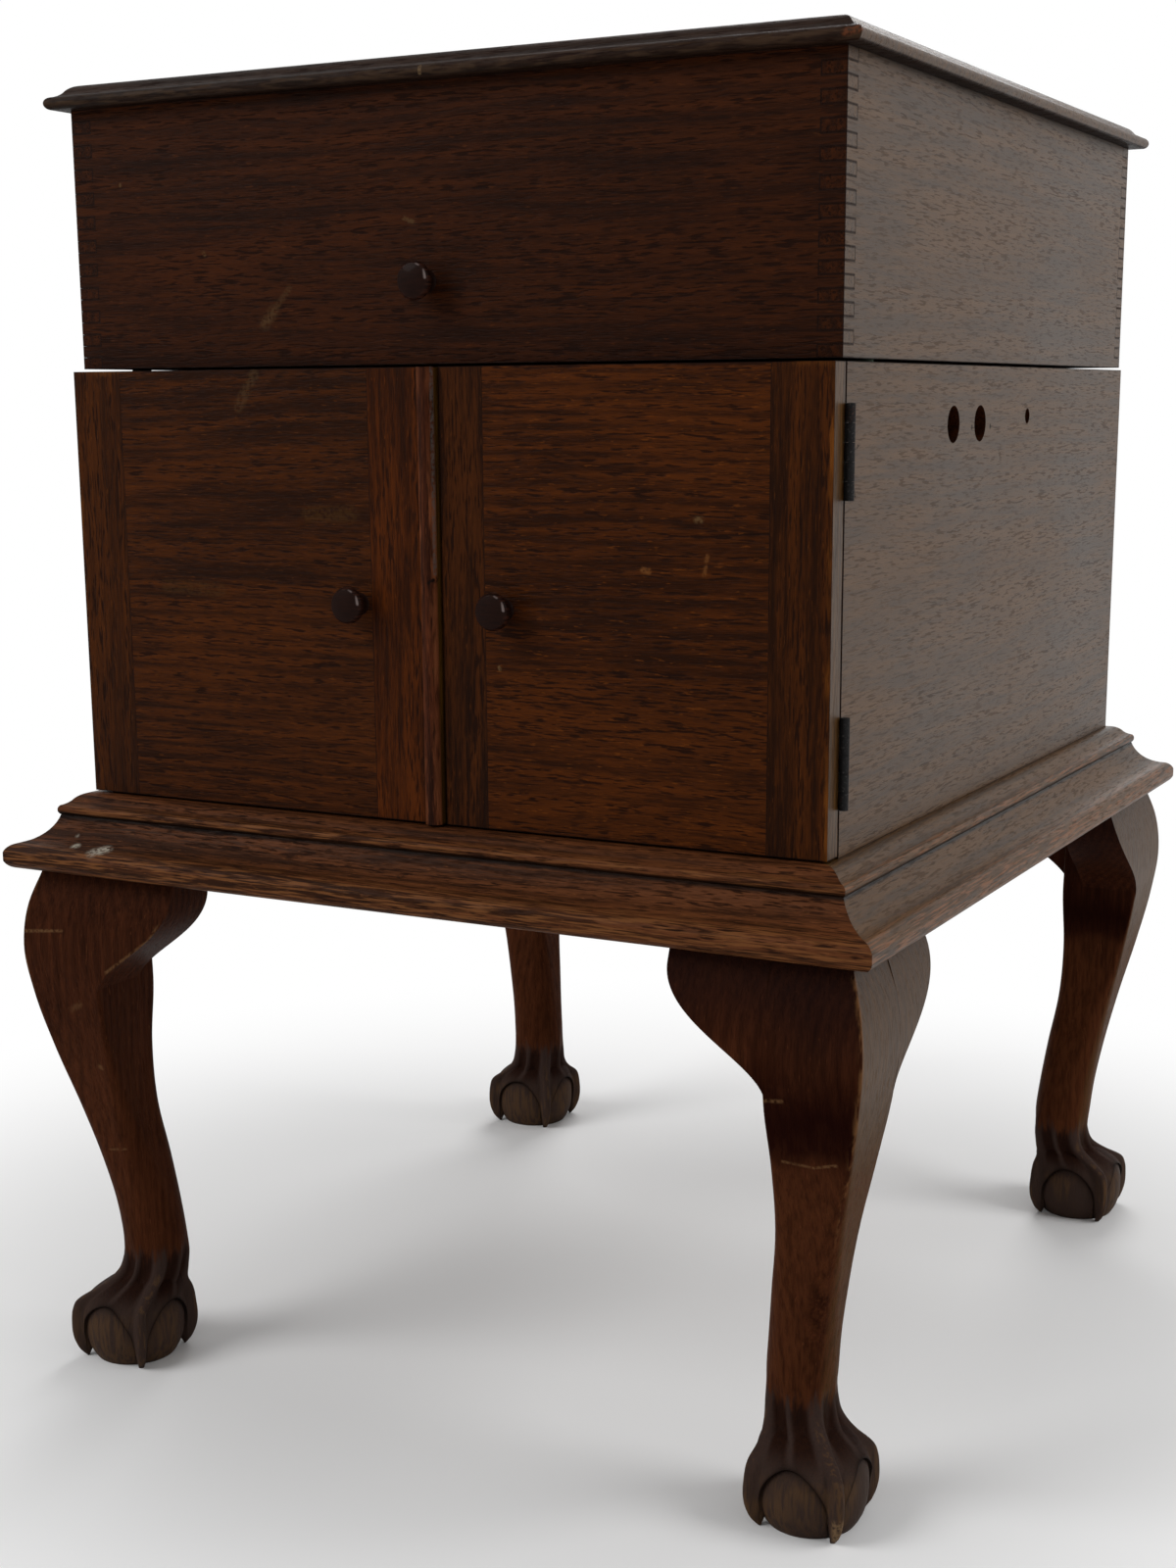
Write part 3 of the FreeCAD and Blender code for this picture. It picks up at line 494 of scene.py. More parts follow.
LEFT_DOOR_MARKS = [
    ((-0.1139, -0.2786, 0.6404), (-0.1262, -0.2786, 0.6223), 0.0050, SCUFF, 0.28),
    ((-0.0780, -0.2786, 0.5605), (-0.0480, -0.2786, 0.5610), 0.0070, OCHRE, 0.40),
    ((-0.1850, -0.2786, 0.5150), (-0.1450, -0.2786, 0.5140), 0.0060, OCHRE, 0.35),
]
RIGHT_DOOR_MARKS = [
    ((0.1725, -0.2786, 0.5621), (0.1752, -0.2786, 0.5621), 0.0026, SCUFF, 0.8),
    ((0.1405, -0.2786, 0.5345), (0.1440, -0.2786, 0.5340), 0.0026, ORANGE, 0.8),
    ((0.0496, -0.2786, 0.4771), (0.0500, -0.2786, 0.4760), 0.0016, SCUFF, 0.9),
    ((0.1790, -0.2786, 0.5430), (0.1770, -0.2786, 0.5330), 0.0018, ORANGE, 0.6),
]
# The first mark is partly the grey of the broken bead and partly a painted highlight down its right flank;
# the second is the notch
STRIP_HIGHLIGHT_AND_NOTCH = [
    ((0.0106, -0.2822, 0.6425), (0.0106, -0.2822, 0.5290), 0.0018, (0.085, 0.070, 0.062), 0.7),
    ((0.0108, -0.2818, 0.5255), (0.0080, -0.2854, 0.5235), 0.0022, CRACK, 0.95),
]
TOP_MARKS = [
    ((0.0064, -0.2795, 0.8116), (0.0060, -0.2795, 0.8065), 0.0014, CRACK, 1.0),
    ((0.0058, -0.2800, 0.8055), (0.0054, -0.2800, 0.7990), 0.0016, (0.16, 0.10, 0.05), 0.7),
    ((0.2530, -0.2800, 0.8010), (0.2612, -0.2795, 0.8025), 0.0032, (0.11, 0.035, 0.014), 0.9),
]


HOOD_HALF_WIDTH, HOOD_HALF_DEPTH, HOOD_MIDDLE_Y = 0.25, 0.2705, 0.00205
TOP_NOSE = (0.0085, 0.0112)
# Grey of the nose of the top: rubbed wood and a painted highlight
NOSE_HIGHLIGHT_GREY = (0.075, 0.042, 0.022)


def nose_wear_and_highlight(f, colour, ragged):
    """Grey wood on the nose of the top, which stands out furthest from the hood: rubbed wood and a painted
    highlight along the nose. The wax stays.
    """
    out = (abs(f.x) - HOOD_HALF_WIDTH).over(abs(f.y - HOOD_MIDDLE_Y) - HOOD_HALF_DEPTH)
    # Rubbed wood and a painted highlight along the nose
    rubbed = 0.35 * out.step(*TOP_NOSE) * ragged.step(0.45, 0.65)
    return f.mix(rubbed, colour, NOSE_HIGHLIGHT_GREY), 0


FRONT_RED = (0.0225, 0.0054, 0.0010)
DOOR_BROWN = (0.034, 0.0084, 0.0011)
STILE_BROWN = (0.031, 0.0078, 0.0010)
BARE_OAK = (0.110, 0.055, 0.024)
LOW_X, HIGH_X, HIGH_Z = (0, -0.25), (0, 0.25), (2, 0.6435)
STRIP_EDGES = [(0, 0.0), (0, 0.011)]
BOARDS = {
    "hood_front": dict(grain=GRAIN_X, tint=FRONT_RED, pith=(0.1, -0.12, 0.70), ring=0.007, comb=True,
                       marks=HOOD_MARKS),
    "hood_back": dict(grain=GRAIN_X, tint=FRONT_RED, pith=(0, 0.40, 0.72), ring=0.007, comb=True),
    "hood_left_side": dict(grain=GRAIN_Y, tint=FRONT_RED, pith=(-0.40, 0, 0.70), ring=0.007, comb=True),
    "hood_right_side": dict(grain=GRAIN_Y, tint=FRONT_RED, pith=(0.40, 0, 0.72), ring=0.007, comb=True),
    "top_panel": dict(grain=GRAIN_X, tint=(0.015, 0.0075, 0.0046), pith=(0, 0.1, 0.60), ring=0.007,
                      marks=TOP_MARKS, extra=nose_wear_and_highlight),
    "case_left_side": dict(grain=GRAIN_Y, tint=FRONT_RED, pith=(-0.42, 0, 0.52), ring=0.007),
    "case_right_side": dict(grain=GRAIN_Y, tint=FRONT_RED, pith=(0.42, 0, 0.50), ring=0.007,
                            marks=SIDE_MARKS),
    "case_back": dict(grain=GRAIN_X, tint=(0.05, 0.022, 0.010), pith=(0, 0.42, 0.5), ring=0.008),
    "case_bottom": dict(grain=GRAIN_X, tint=BARE_OAK, ring=0.008),
    "deck_board": dict(grain=GRAIN_X, tint=DOOR_BROWN, pith=(0, 0.05, 0.4), ring=0.008),
    "front_rail": dict(grain=GRAIN_X, tint=FRONT_RED, pith=(0, 0, 0.5), ring=0.007),
    "left_panel": dict(grain=GRAIN_X, tint=DOOR_BROWN, pith=(-0.1, -0.16, 0.57), ring=0.006, contrast=1.1,
                       marks=LEFT_DOOR_MARKS),
    "right_panel": dict(grain=GRAIN_X, tint=(0.038, 0.0090, 0.0010), pith=(0.1, -0.15, 0.46), ring=0.006,
                        contrast=1.1, flecks=0.4, marks=RIGHT_DOOR_MARKS),
    "left_outer_stile": dict(grain=GRAIN_Z, tint=STILE_BROWN, pith=(-0.24, -0.20, 0.5), ring=0.004,
                             worn=[LOW_X, HIGH_Z]),
    "left_inner_stile": dict(grain=GRAIN_Z, tint=(0.043, 0.0094, 0.0010), pith=(-0.02, -0.19, 0.5),
                             ring=0.004, contrast=1.3),
    "right_inner_stile": dict(grain=GRAIN_Z, tint=(0.025, 0.0064, 0.0010), pith=(0.03, -0.20, 0.5),
                              ring=0.004, contrast=1.5),
    "right_outer_stile": dict(grain=GRAIN_Z, tint=STILE_BROWN, pith=(0.22, -0.19, 0.5), ring=0.004,
                              contrast=1.3, worn=[HIGH_X, HIGH_Z], wear=0.9),
    # The strip's flanks bear the painted sheen, and its marks a painted highlight
    "closing_strip": dict(grain=GRAIN_Z, tint=(0.042, 0.0105, 0.0036), pith=(0.01, -0.20, 0.5), ring=0.004,
                          contrast=1.5, worn=STRIP_EDGES, wear=0.8, wax=0.05, sheen_range=(0.9, 1.0),
                          marks=STRIP_HIGHLIGHT_AND_NOTCH),
}
for seed, (node, looks) in enumerate(BOARDS.items(), 1):
    dress(node, oak(f"oak_{node}", seed=seed, edge_of=node, **looks))
print("Boards in oak:", len(BOARDS))

# %% [markdown]
# ## The base mouldings
#
# Two mitred frames carry the case: a bead on top and a wide hollow below it. Their noses are what feet
# and brooms hit, so the wood there is rubbed down to orange. That could be painted rail by rail, but how
# far a point stands out from the case tells how much it was hit. The side rails bear the grey painted
# sheen all over, as the sides above them do.

# %% Mouldings
MOULDING_BROWN = (0.058, 0.0188, 0.0064)
RUBBED_ORANGE = (0.160, 0.060, 0.019)
CASE_HALF_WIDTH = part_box("case_right_side")[1].x
CASE_HALF_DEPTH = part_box("case_right_side")[1].y
RAIL_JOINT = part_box("bead_rail_front")[0].z
# How far out from the case the rubbing begins, and where it is full
REACH = {"bead_rail": (0.0110, 0.0172), "hollow_rail": (0.0270, 0.0415)}
# Painted shade in the recess where the bead meets the hollow: where it fades out and where it is full
JOINT_SHADE = (0.0030, 0.0008)


def rubbed_nose(reach, grain):
    """Orange streaks where a moulding reaches furthest out, and painted shade in the joint of bead and
    hollow.
    """
    def extra(f, colour, _):
        out = (abs(f.x) - CASE_HALF_WIDTH).over(abs(f.y) - CASE_HALF_DEPTH)
        streaks = f.noise(f.place, stretch(grain, 40, 850), 29, detail=3)
        colour = f.mix(0.9 * out.step(*reach) * streaks.step(0.48, 0.62), colour, RUBBED_ORANGE)
        # Painted shade along the joint of bead and hollow
        return f.mix(0.9 * abs(f.z - RAIL_JOINT).step(*JOINT_SHADE), colour, CRACK), 0
    return extra


# Side rails: the grey painted sheen on every face, under a thinner wax
SHEEN_ALL_OVER, RAIL_WAX = (-0.2, -0.1), 0.40
PAINT = (0.40, 0.36, 0.29)
PAINT_SPECKS = [
    ((-0.2230, -0.3130, 0.3495), (-0.2185, -0.3115, 0.3525), 0.0076, PAINT, 0.95),
    ((-0.2420, -0.3100, 0.3525), (-0.2415, -0.3100, 0.3530), 0.0042, PAINT, 0.9),
    ((-0.2470, -0.3030, 0.3590), (-0.2470, -0.3030, 0.3590), 0.0028, PAINT, 0.6),
    ((-0.0040, -0.3050, 0.3560), (0.0040, -0.3030, 0.3600), 0.0026, CRACK, 0.8),
]
for seed, side in enumerate(("front", "right", "back", "left"), 30):
    for rail, reach in REACH.items():
        at_side = side in ("right", "left")
        grain = GRAIN_Y if at_side else GRAIN_X
        # The side rails take the painted sheen on every face
        sheen_looks = dict(sheen_range=SHEEN_ALL_OVER, wax=RAIL_WAX) if at_side else {}
        wood = oak(f"oak_{rail}_{side}", grain, MOULDING_BROWN, seed, contrast=1.5, flecks=0.3,
                   marks=PAINT_SPECKS if side == "front" else (), extra=rubbed_nose(reach, grain), **sheen_looks)
        dress(f"{rail}_{side}", wood)
print("Mouldings in oak:", 4 * len(REACH))

# %% [markdown]
# ## Cabriole legs with ball-and-claw feet
#
# A carver saws the leg to an S curve, rounds it towards the ankle, and then cuts four talons that hold
# a ball, with fluted webs between them. The leg could be sculpted by hand, but it is a tidy surface:
# around a centre line that swings out at the knee and in at the ankle, the radius is a function of the
# angle and the height. A talon is a bump at each diagonal, and each web has two flutes with a ridge
# between them and ends in a rounded arch over the ball.

# %% Tables of the leg
MM = 0.001
# Height, outer face, inner face and corner radius in millimetres, outwards from the corner of the case
SHAFT = MM * np.array([
    (336, 25, -21.2, 1), (312, 33, -21.2, 1), (285, 36, -21.2, 1), (255, 33, -21.8, 1.8),
    (215, 25.5, -20.6, 4.2), (175, 16.9, -23.1, 9), (135, 9.8, -30, 15), (105, 5.8, -34.4, 18.6),
    (80, 4.1, -37.1, 20.2), (60, 4, -38.4, 21)])
# Height, centre, radius of a web's ridge, radius of a talon and depth of a flute, in millimetres
FOOT = MM * np.array([
    (100, -14.8, 20.3, 20.3, 0), (80.5, -16.4, 20.4, 20.8, 0.6), (66.5, -16.5, 20.8, 21.8, 2.2),
    (55.5, -14.2, 22.2, 24, 4.0), (46.5, -9.4, 25, 30, 4.2), (39.5, -5.8, 27.6, 38, 2.8),
    (33, -5, 29, 41, 1.2), (22, -5, 30, 41.8, 0), (10, -5, 28, 39.6, 0), (4, -5, 26, 36.4, 0),
    (0, -5, 24, 32.5, 0)])
# Height and half width of a talon, as a share of the angle from a talon to the ridge of a web
TALON_WIDTH = np.array([
    (0.100, 0.42), (0.074, 0.32), (0.053, 0.22), (0.040, 0.16), (0.022, 0.14), (0, 0.12)])
BALL_RADIUS, BALL_HEIGHT, BALL_SET_IN, BALL_PAD = 0.0325, 0.0255, 0.005, 0.80
# The edge of a web: heights of the arch's top and of its springing, shares where claw and tip end
ARCH_TOP, ARCH_SPRING, CLAW_END, TIP_END = 0.041, 0.018, 0.17, 0.07
CLAW_CURVE, ARCH_ROUND, ARCH_LIFT = 1.3, 2.1, 0.75


def through(table, heights):
    """A smooth curve through a table whose heights fall: cubic stretches with shared slopes."""
    knots, values = table[::-1, 0], table[::-1, 1:]
    slopes = np.gradient(values, knots, axis=0)
    low = np.clip(np.searchsorted(knots, heights) - 1, 0, len(knots) - 2)
    step = (knots[low + 1] - knots[low])[..., None]
    t = np.clip((heights - knots[low])[..., None] / step, 0, 1)
    start, stop = values[low], values[low + 1]
    curve = (start * (1 + 2 * t) * (1 - t) ** 2 + stop * t ** 2 * (3 - 2 * t)
             + step * t * (1 - t) * (slopes[low] * (1 - t) - slopes[low + 1] * t))
    return np.moveaxis(curve, -1, 0)


# %% Radius of the leg
ANKLE, ANKLE_BLEND = 0.068, 0.025
WEB_PROUD = 0.0022
FLUTE_START = 0.2
# How the flanks of a talon fall: a bell whose power grows from a plain 2 at the top to a steep claw
BELL_HALF, BELL_POWER, BELL_STEEPER, STEEPENING = 0.69, 2, 1.6, (0.065, 0.03)
# A knuckle is a swelling with a dip below it: heights of the two, their depth and their spread
KNUCKLE_HEIGHT, DIP_HEIGHT, KNUCKLE_DEPTH, KNUCKLE_SPREAD = 0.043, 0.029, 0.0006, 0.006
# The ball loses this share of its radius inside the leg, over this height above the arches
BALL_SLIMMER, BALL_SLIMS_OVER = 0.6, 0.008


def rise(value, low, high):
    """0 at low, 1 at high and a smooth S between: 3 t squared less 2 t cubed."""
    t = np.clip((value - low) / (high - low), 0, 1)
    return t * t * (3 - 2 * t)


def rounded_square(angle, half, corner):
    """Radius of a square with rounded corners: a flat side, then an arc about the corner's centre."""
    folded = np.abs((angle + np.pi / 4) % (np.pi / 2) - np.pi / 4)
    inner = np.maximum(half - corner, 0)
    flat = half / np.cos(folded)
    spread = inner * (np.cos(folded) - np.sin(folded))
    arc = inner * (np.cos(folded) + np.sin(folded)) + np.sqrt(np.maximum(corner ** 2 - spread ** 2, 0))
    return np.where(half * np.tan(folded) <= inner, flat, arc)


def talon_share(angle, heights):
    """The way from a talon, 0, to the ridge of a web, 1; and the talon's bump, 1 on its own ridge.

    The bump is a bell over that way, with flanks that get steeper towards the claw."""
    away = 1 - np.abs((angle + np.pi / 4) % (np.pi / 2) - np.pi / 4) / (np.pi / 4)
    width = through(TALON_WIDTH, heights)[0]
    power = BELL_POWER + BELL_STEEPER * rise(heights, *STEEPENING)
    return away, np.exp(-BELL_HALF * (away / width) ** power)


def ball_radius(heights):
    """A sphere above its middle; below it the radius falls slowly, as a cube, to a flat pad."""
    above = np.sqrt(np.maximum(BALL_RADIUS ** 2 - (heights - BALL_HEIGHT) ** 2, 0))
    below = BALL_RADIUS * (1 - (1 - BALL_PAD) * (1 - heights / BALL_HEIGHT) ** 3)
    return np.where(heights > BALL_HEIGHT, above, below)


def inner_ball(heights):
    """The ball where it shows, and slimmer above the arches, inside the leg."""
    return ball_radius(heights) * (1 - BALL_SLIMMER * rise(heights, ARCH_TOP, ARCH_TOP + BALL_SLIMS_OVER))


def flute_share(away):
    """1 in the middle of a flute and 0 at the talon and at the web's ridge: a parabola between them."""
    return 1 - (2 * np.clip((away - FLUTE_START) / (1 - FLUTE_START), 0, 1) - 1) ** 2


def lower_edge(away):
    """Height where the leg ends: 0 at the tip of a claw, up its side, then a rounded arch over the ball.

    The arch is a superellipse over the way that is left to the ridge of the web."""
    claw = ARCH_SPRING * np.clip((away - TIP_END) / (CLAW_END - TIP_END), 0, 1) ** CLAW_CURVE
    left = 1 - np.clip((away - CLAW_END) / (1 - CLAW_END), 0, 1)
    return claw + (ARCH_TOP - ARCH_SPRING) * (1 - left ** ARCH_ROUND) ** ARCH_LIFT


def knuckle(heights):
    """A swelling of the talon with a dip below it: one bell less another."""
    swelling, dip = (np.exp(-((heights - middle) / KNUCKLE_SPREAD) ** 2)
                     for middle in (KNUCKLE_HEIGHT, DIP_HEIGHT))
    return KNUCKLE_DEPTH * swelling - KNUCKLE_DEPTH * dip


def leg_radius(angle, heights):
    """Centre and radius of the leg at each angle and height.

    Above the ankle it is a rounded square. Below, it is the web's radius, less a flute, plus the talon's
    bump with its knuckle, and it always lies over the ball."""
    outer, inner, corner = through(SHAFT, np.maximum(heights, SHAFT[-1, 0]))
    centre, web, tip, flute = through(FOOT, np.minimum(heights, FOOT[0, 0]))
    away, bump = talon_share(angle, heights)
    foot = web - flute * flute_share(away) + (tip + knuckle(heights) - web) * bump
    foot = np.maximum(foot, ball_radius(heights) + WEB_PROUD)
    shaft = rounded_square(angle, (outer - inner) / 2, corner)
    blend = rise(heights, ANKLE, ANKLE + ANKLE_BLEND)
    return centre * (1 - blend) + (outer + inner) / 2 * blend, foot * (1 - blend) + shaft * blend


# %% Skin of the leg
SHAFT_ROWS, FOOT_ROWS, LIP_ROWS, QUARTER_COLUMNS = 60, 70, 6, 46
BALL_ROWS, PAD_ROWS, BALL_COLUMNS = 24, 16, 129
LEG_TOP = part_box("hollow_rail_front")[0].z
COLUMN_CROWDING = 1.5
# The turned-in edge: how far it rises into the leg, more so at a claw's tip, and how deep in the ball
LIP_RISE, TIP_LIP_RISE, LIP_DEPTH = 0.001, 0.006, 0.002
# How far the painted shade spreads from an arch, up the leg and down the ball, and how wide a knee's corner
# is
ARCH_SHADE, BALL_SHADE, KNEE_CORNER = 0.0016, 0.0020, 0.035
# Heights between which each field comes in
FLUTE_BAND, TALON_BAND, ARCH_BAND, KNEE_BAND = (0.085, 0.065), (0.09, 0.055), (0.08, 0.05), (0.16, 0.21)
CLAW_BAND = (0.02, 0)


def leg_skin():
    """Points of the leg of the corner towards +X and +Y, with the talon, arch, knee and flute fields.

    Columns are angles, closer together near the diagonals. Rows run down from the top. Below the ankle
    each column ends at its own height, so the arches over the ball are clean lines. The last rows turn
    in under the arch and close inside the ball."""
    spread = np.linspace(-1, 1, QUARTER_COLUMNS + 1)[:-1]
    quarter = np.pi / 4 * (1 + np.sign(spread) * np.abs(spread) ** COLUMN_CROWDING)
    angle = (quarter + np.pi / 2 * np.arange(4)[:, None]).ravel()
    angle = np.append(angle, angle[0] + 2 * np.pi)[None, :]

    edge = lower_edge(talon_share(angle, 0 * angle)[0])
    shaft = np.linspace(LEG_TOP, ANKLE, SHAFT_ROWS)[:, None] + 0 * angle
    foot = ANKLE + (edge - ANKLE) * np.linspace(0, 1, FOOT_ROWS)[1:, None]
    heights = np.concatenate([shaft, foot])
    centre, radius = leg_radius(angle, heights)

    share = np.linspace(0, 1, LIP_ROWS + 1)[1:, None]
    inside = edge + LIP_RISE + TIP_LIP_RISE * rise(edge, *CLAW_BAND)
    within = ball_radius(inside) - LIP_DEPTH
    lip_radius = radius[-1] + (within - radius[-1]) * share
    lip = edge + (inside - edge) * share
    pole = np.full((1, angle.size), BALL_HEIGHT)
    radius = np.concatenate([0 * radius[:1], radius, lip_radius, 0 * pole])
    heights = np.concatenate([heights[:1], heights, lip, pole])
    centre = np.concatenate([centre[:1], centre, np.repeat(centre[-1:], LIP_ROWS + 1, axis=0)])

    points = np.stack([centre + radius * np.cos(angle), centre + radius * np.sin(angle), heights], axis=-1)
    away, bump = talon_share(angle, heights)
    flute = flute_share(away) * rise(heights, *FLUTE_BAND)
    bump = bump * rise(heights, *TALON_BAND)
    # Painted shade on the web just above the edge of each arch, and none on the talons
    arch = np.exp(-np.maximum(heights - edge, 0) / ARCH_SHADE) * rise(heights, *ARCH_BAND) * (1 - bump)
    knee = np.exp(-((angle - np.pi / 4) / KNEE_CORNER) ** 2) * rise(heights, *KNEE_BAND)
    return points, {"talon": bump, "arch": arch, "knee": knee, "flute": flute}


def ball_skin():
    """The ball and its fields: heights fall along the rows, from its top to the pad on the floor, and
    the angle turns along the columns. It bears painted shade close under the arch, and is slimmer inside the
    leg."""
    upper = BALL_HEIGHT + BALL_RADIUS * np.sin(np.linspace(np.pi / 2, 0, BALL_ROWS))
    height = np.concatenate([upper, np.linspace(BALL_HEIGHT, 0, PAD_ROWS)[1:], [0]])[:, None]
    angle = np.linspace(0, 2 * np.pi, BALL_COLUMNS)[None, :]
    radius = inner_ball(height)
    radius[-1] = 0
    points = np.stack([radius * np.cos(angle) - BALL_SET_IN, radius * np.sin(angle) - BALL_SET_IN,
                       height + 0 * angle], axis=-1)
    below = np.maximum(lower_edge(talon_share(angle, 0 * angle)[0]) - height, 0)
    nothing = 0 * below
    # Painted shade on the ball close under each arch
    arch_shade_on_ball = np.exp(-below / BALL_SHADE)
    return points, {"talon": nothing, "arch": arch_shade_on_ball, "knee": nothing, "flute": nothing}


skin, skin_fields = leg_skin()
ball, ball_fields = ball_skin()
print("Leg:", skin.shape[:2], "points, lowest", skin[..., 2].min())

# %% [markdown]
# ## The carved wood
#
# The knees have kept some of the red stain, and the shins are rubbed brown. The feet are almost black:
# grime and painted shade fill the flutes, so the ridges between them are greyer, painted shade lies
# under the arches, and the talons have bare edges. This could be painted by hand, but the fields that
# came with the surface say where a talon, an arch, a flute or the corner of a knee is, so the wear and
# the painted shade follow the carving.

# %% Leg finish
LEG_BROWN = (0.034, 0.0096, 0.0036)
SHIN_BROWN = (0.080, 0.0245, 0.0085)
FOOT_DARK = (0.0380, 0.0260, 0.0215)
FOOT_WORN = (0.085, 0.046, 0.022)
KNEE_WORN = (0.150, 0.068, 0.026)
KNEE_RED = (0.008, 0.0010, 0.0005)
KNEE_DARK = (0.009, 0.0036, 0.0034)
WEB_RIDGE = (0.036, 0.0240, 0.0205)
# The flutes: painted shade and grime
FLUTE_SHADE_AND_GRIME = (0.0105, 0.0050, 0.0038)
# Heights between which a colour comes in, upwards or downwards
DARK_ABOVE, RED_ABOVE, RED_BELOW, SHIN_BELOW = (0.26, 0.325), (0.218, 0.230), (0.30, 0.24), (0.25, 0.19)
FOOT_BELOW, WEB_ABOVE, TOE_BELOW, BARE_BELOW = (0.078, 0.066), (0.036, 0.050), (0.040, 0.030), (0.28, 0.20)


def carved(f, colour, ragged):
    """Dark knees and feet, a red cloud under the knee, painted shade under the arches, grime and painted
    shade in the flutes, and rubbed ridges.

    The knees on the right are darker than those on the left. The shins bear little wax."""
    talon, arch, knee, flute = (f.node("ShaderNodeAttribute", {"attribute_name": name}, out="Fac")
                                for name in skin_fields)
    right = f.x.step(-0.1, 0.1)
    cloud = f.noise(f.place, (22, 22, 14), 71)
    front = abs(f.axis(f.node("ShaderNodeTexCoord", out="Normal"), "X")).step(0.75, 0.45)
    dark = (f.z + 0.05 * (cloud - 0.5)).step(*DARK_ABOVE) * (0.20 + 0.5 * right * front)
    colour = f.mix(dark, colour, KNEE_DARK)
    uneven = 0.03 * (cloud - 0.5) + 0.015 * (ragged - 0.5)
    red = (f.z + uneven).step(*RED_ABOVE) * (f.z + 0.08 * (cloud - 0.5)).step(*RED_BELOW)
    colour = f.mix(red * front * (0.1 + 0.85 * right) * cloud.step(0.26, 0.40), colour, KNEE_RED)
    shin = f.z.step(*SHIN_BELOW)
    colour = f.mix(0.4 * shin * (0.35 + ragged.step(0.4, 0.62)) * (0.5 + 0.5 * right), colour, SHIN_BROWN)
    low = (f.z + 0.03 * (ragged - 0.5)).step(*FOOT_BELOW)
    # Painted shade and grime darken the flutes, which leaves the ridges between them greyer
    web = f.mix(flute.step(0.10, 0.75), WEB_RIDGE, FLUTE_SHADE_AND_GRIME)
    colour = f.mix(0.85 * low, colour, f.mix(f.z.step(*WEB_ABOVE), FOOT_DARK, web))
    rubbed = f.z.step(*TOE_BELOW) * cloud.step(0.46, 0.58) * ragged.step(0.35, 0.6)
    colour = f.mix(0.6 * rubbed, colour, FOOT_WORN)
    colour = f.mix(0.55 * talon.step(0.75, 1) * ragged.step(0.5, 0.62), colour, FOOT_WORN)
    colour = f.mix(0.8 * knee * ragged.step(0.42, 0.6), colour, KNEE_WORN)
    # Painted shade under the arches
    return f.mix(0.9 * arch, colour, CRACK), 0.8 * f.z.step(*BARE_BELOW)


LEG_LOOKS = dict(wax=0.46, pored=0.30, contrast=0.7, gloss=0.012)
# The side faces of the right legs bear the grey painted sheen of the light from the right; the left legs
# bear none
RIGHT_LEG_SHEEN, NO_SHEEN = (0.72, 0.97), (1.1, 1.2)
RUBBED = (0.13, 0.065, 0.028)
LEG_MARKS = {
    "front_right": [
        ((0.2720, -0.3006, 0.002), (0.2728, -0.3014, 0.014), 0.0060, (0.17, 0.105, 0.055), 0.9),
        ((0.2266, -0.3110, 0.2570), (0.2397, -0.3110, 0.2585), 0.0020, RUBBED, 0.8),
        ((0.2381, -0.3060, 0.2222), (0.2560, -0.3060, 0.2215), 0.0014, RUBBED, 0.6),
        ((0.2560, -0.3060, 0.2215), (0.2691, -0.3060, 0.2250), 0.0014, RUBBED, 0.6),
        ((0.2548, -0.2885, 0.1372), (0.2527, -0.2855, 0.1075), 0.0100, KNEE_RED, 0.55),
    ],
    "front_left": [
        ((-0.2866, -0.3144, 0.2945), (-0.2538, -0.3144, 0.2981), 0.0016, RUBBED, 0.7),
        ((-0.1708, -0.3125, 0.3199), (-0.1846, -0.3140, 0.2987), 0.0016, RUBBED, 0.6),
        ((-0.1846, -0.3140, 0.2987), (-0.2196, -0.3140, 0.2745), 0.0016, RUBBED, 0.6),
        ((-0.2530, -0.3120, 0.2450), (-0.2450, -0.3120, 0.2500), 0.0036, RUBBED, 0.35),
        ((-0.2383, -0.3035, 0.2073), (-0.2375, -0.3035, 0.2065), 0.0030, RUBBED, 0.6),
        ((-0.2444, -0.2905, 0.1466), (-0.2214, -0.2905, 0.1503), 0.0012, RUBBED, 0.5),
    ],
}
# Cosine and sine of the corner's turn, and the signs of its X and Y
CORNERS = {"back_right": (1, 0, 1, 1), "back_left": (0, 1, -1, 1),
           "front_left": (-1, 0, -1, -1), "front_right": (0, -1, 1, -1)}
for seed, (corner, (cosine, sine, side, end)) in enumerate(CORNERS.items(), 50):
    spin = np.array([(cosine, sine, 0), (-sine, cosine, 0), (0, 0, 1)])
    foot = np.array([side * CASE_HALF_WIDTH, end * CASE_HALF_DEPTH, 0])
    # Painted sheen on the right legs only
    sheen_range = RIGHT_LEG_SHEEN if side > 0 else NO_SHEEN
    looks = dict(LEG_LOOKS, sheen_range=sheen_range, marks=LEG_MARKS.get(corner, ()), extra=carved)
    wood = oak(f"oak_leg_{corner}", GRAIN_Z, LEG_BROWN, seed, **looks)
    fields = {name: [skin_fields[name], ball_fields[name]] for name in skin_fields}
    leg = new_piece(f"carved_leg_{corner}", [skin @ spin + foot, ball @ spin + foot], wood, fields)
    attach(leg, "case")
    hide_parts(f"leg_{corner}")
    dress(f"knee_blocks_{corner}", oak(f"oak_knee_blocks_{corner}", GRAIN_Z, LEG_BROWN, seed, **looks))
    print(leg.name, len(leg.data.polygons), "faces")

# %% [markdown]
# ## Turned knobs
#
# The knobs are turned and nearly black, with painted highlights on their rims. A noise in space would look
# like stone. On a lathe every line is a ring about the knob's axis, so the pattern reads the distance from
# that axis, and the rim is a little paler.

# %% Knobs
KNOB_BLACK = (0.006, 0.0026, 0.0020)
KNOB_BROWN = (0.024, 0.0078, 0.0045)
HIGHLIGHT_GREY = (0.20, 0.155, 0.145)
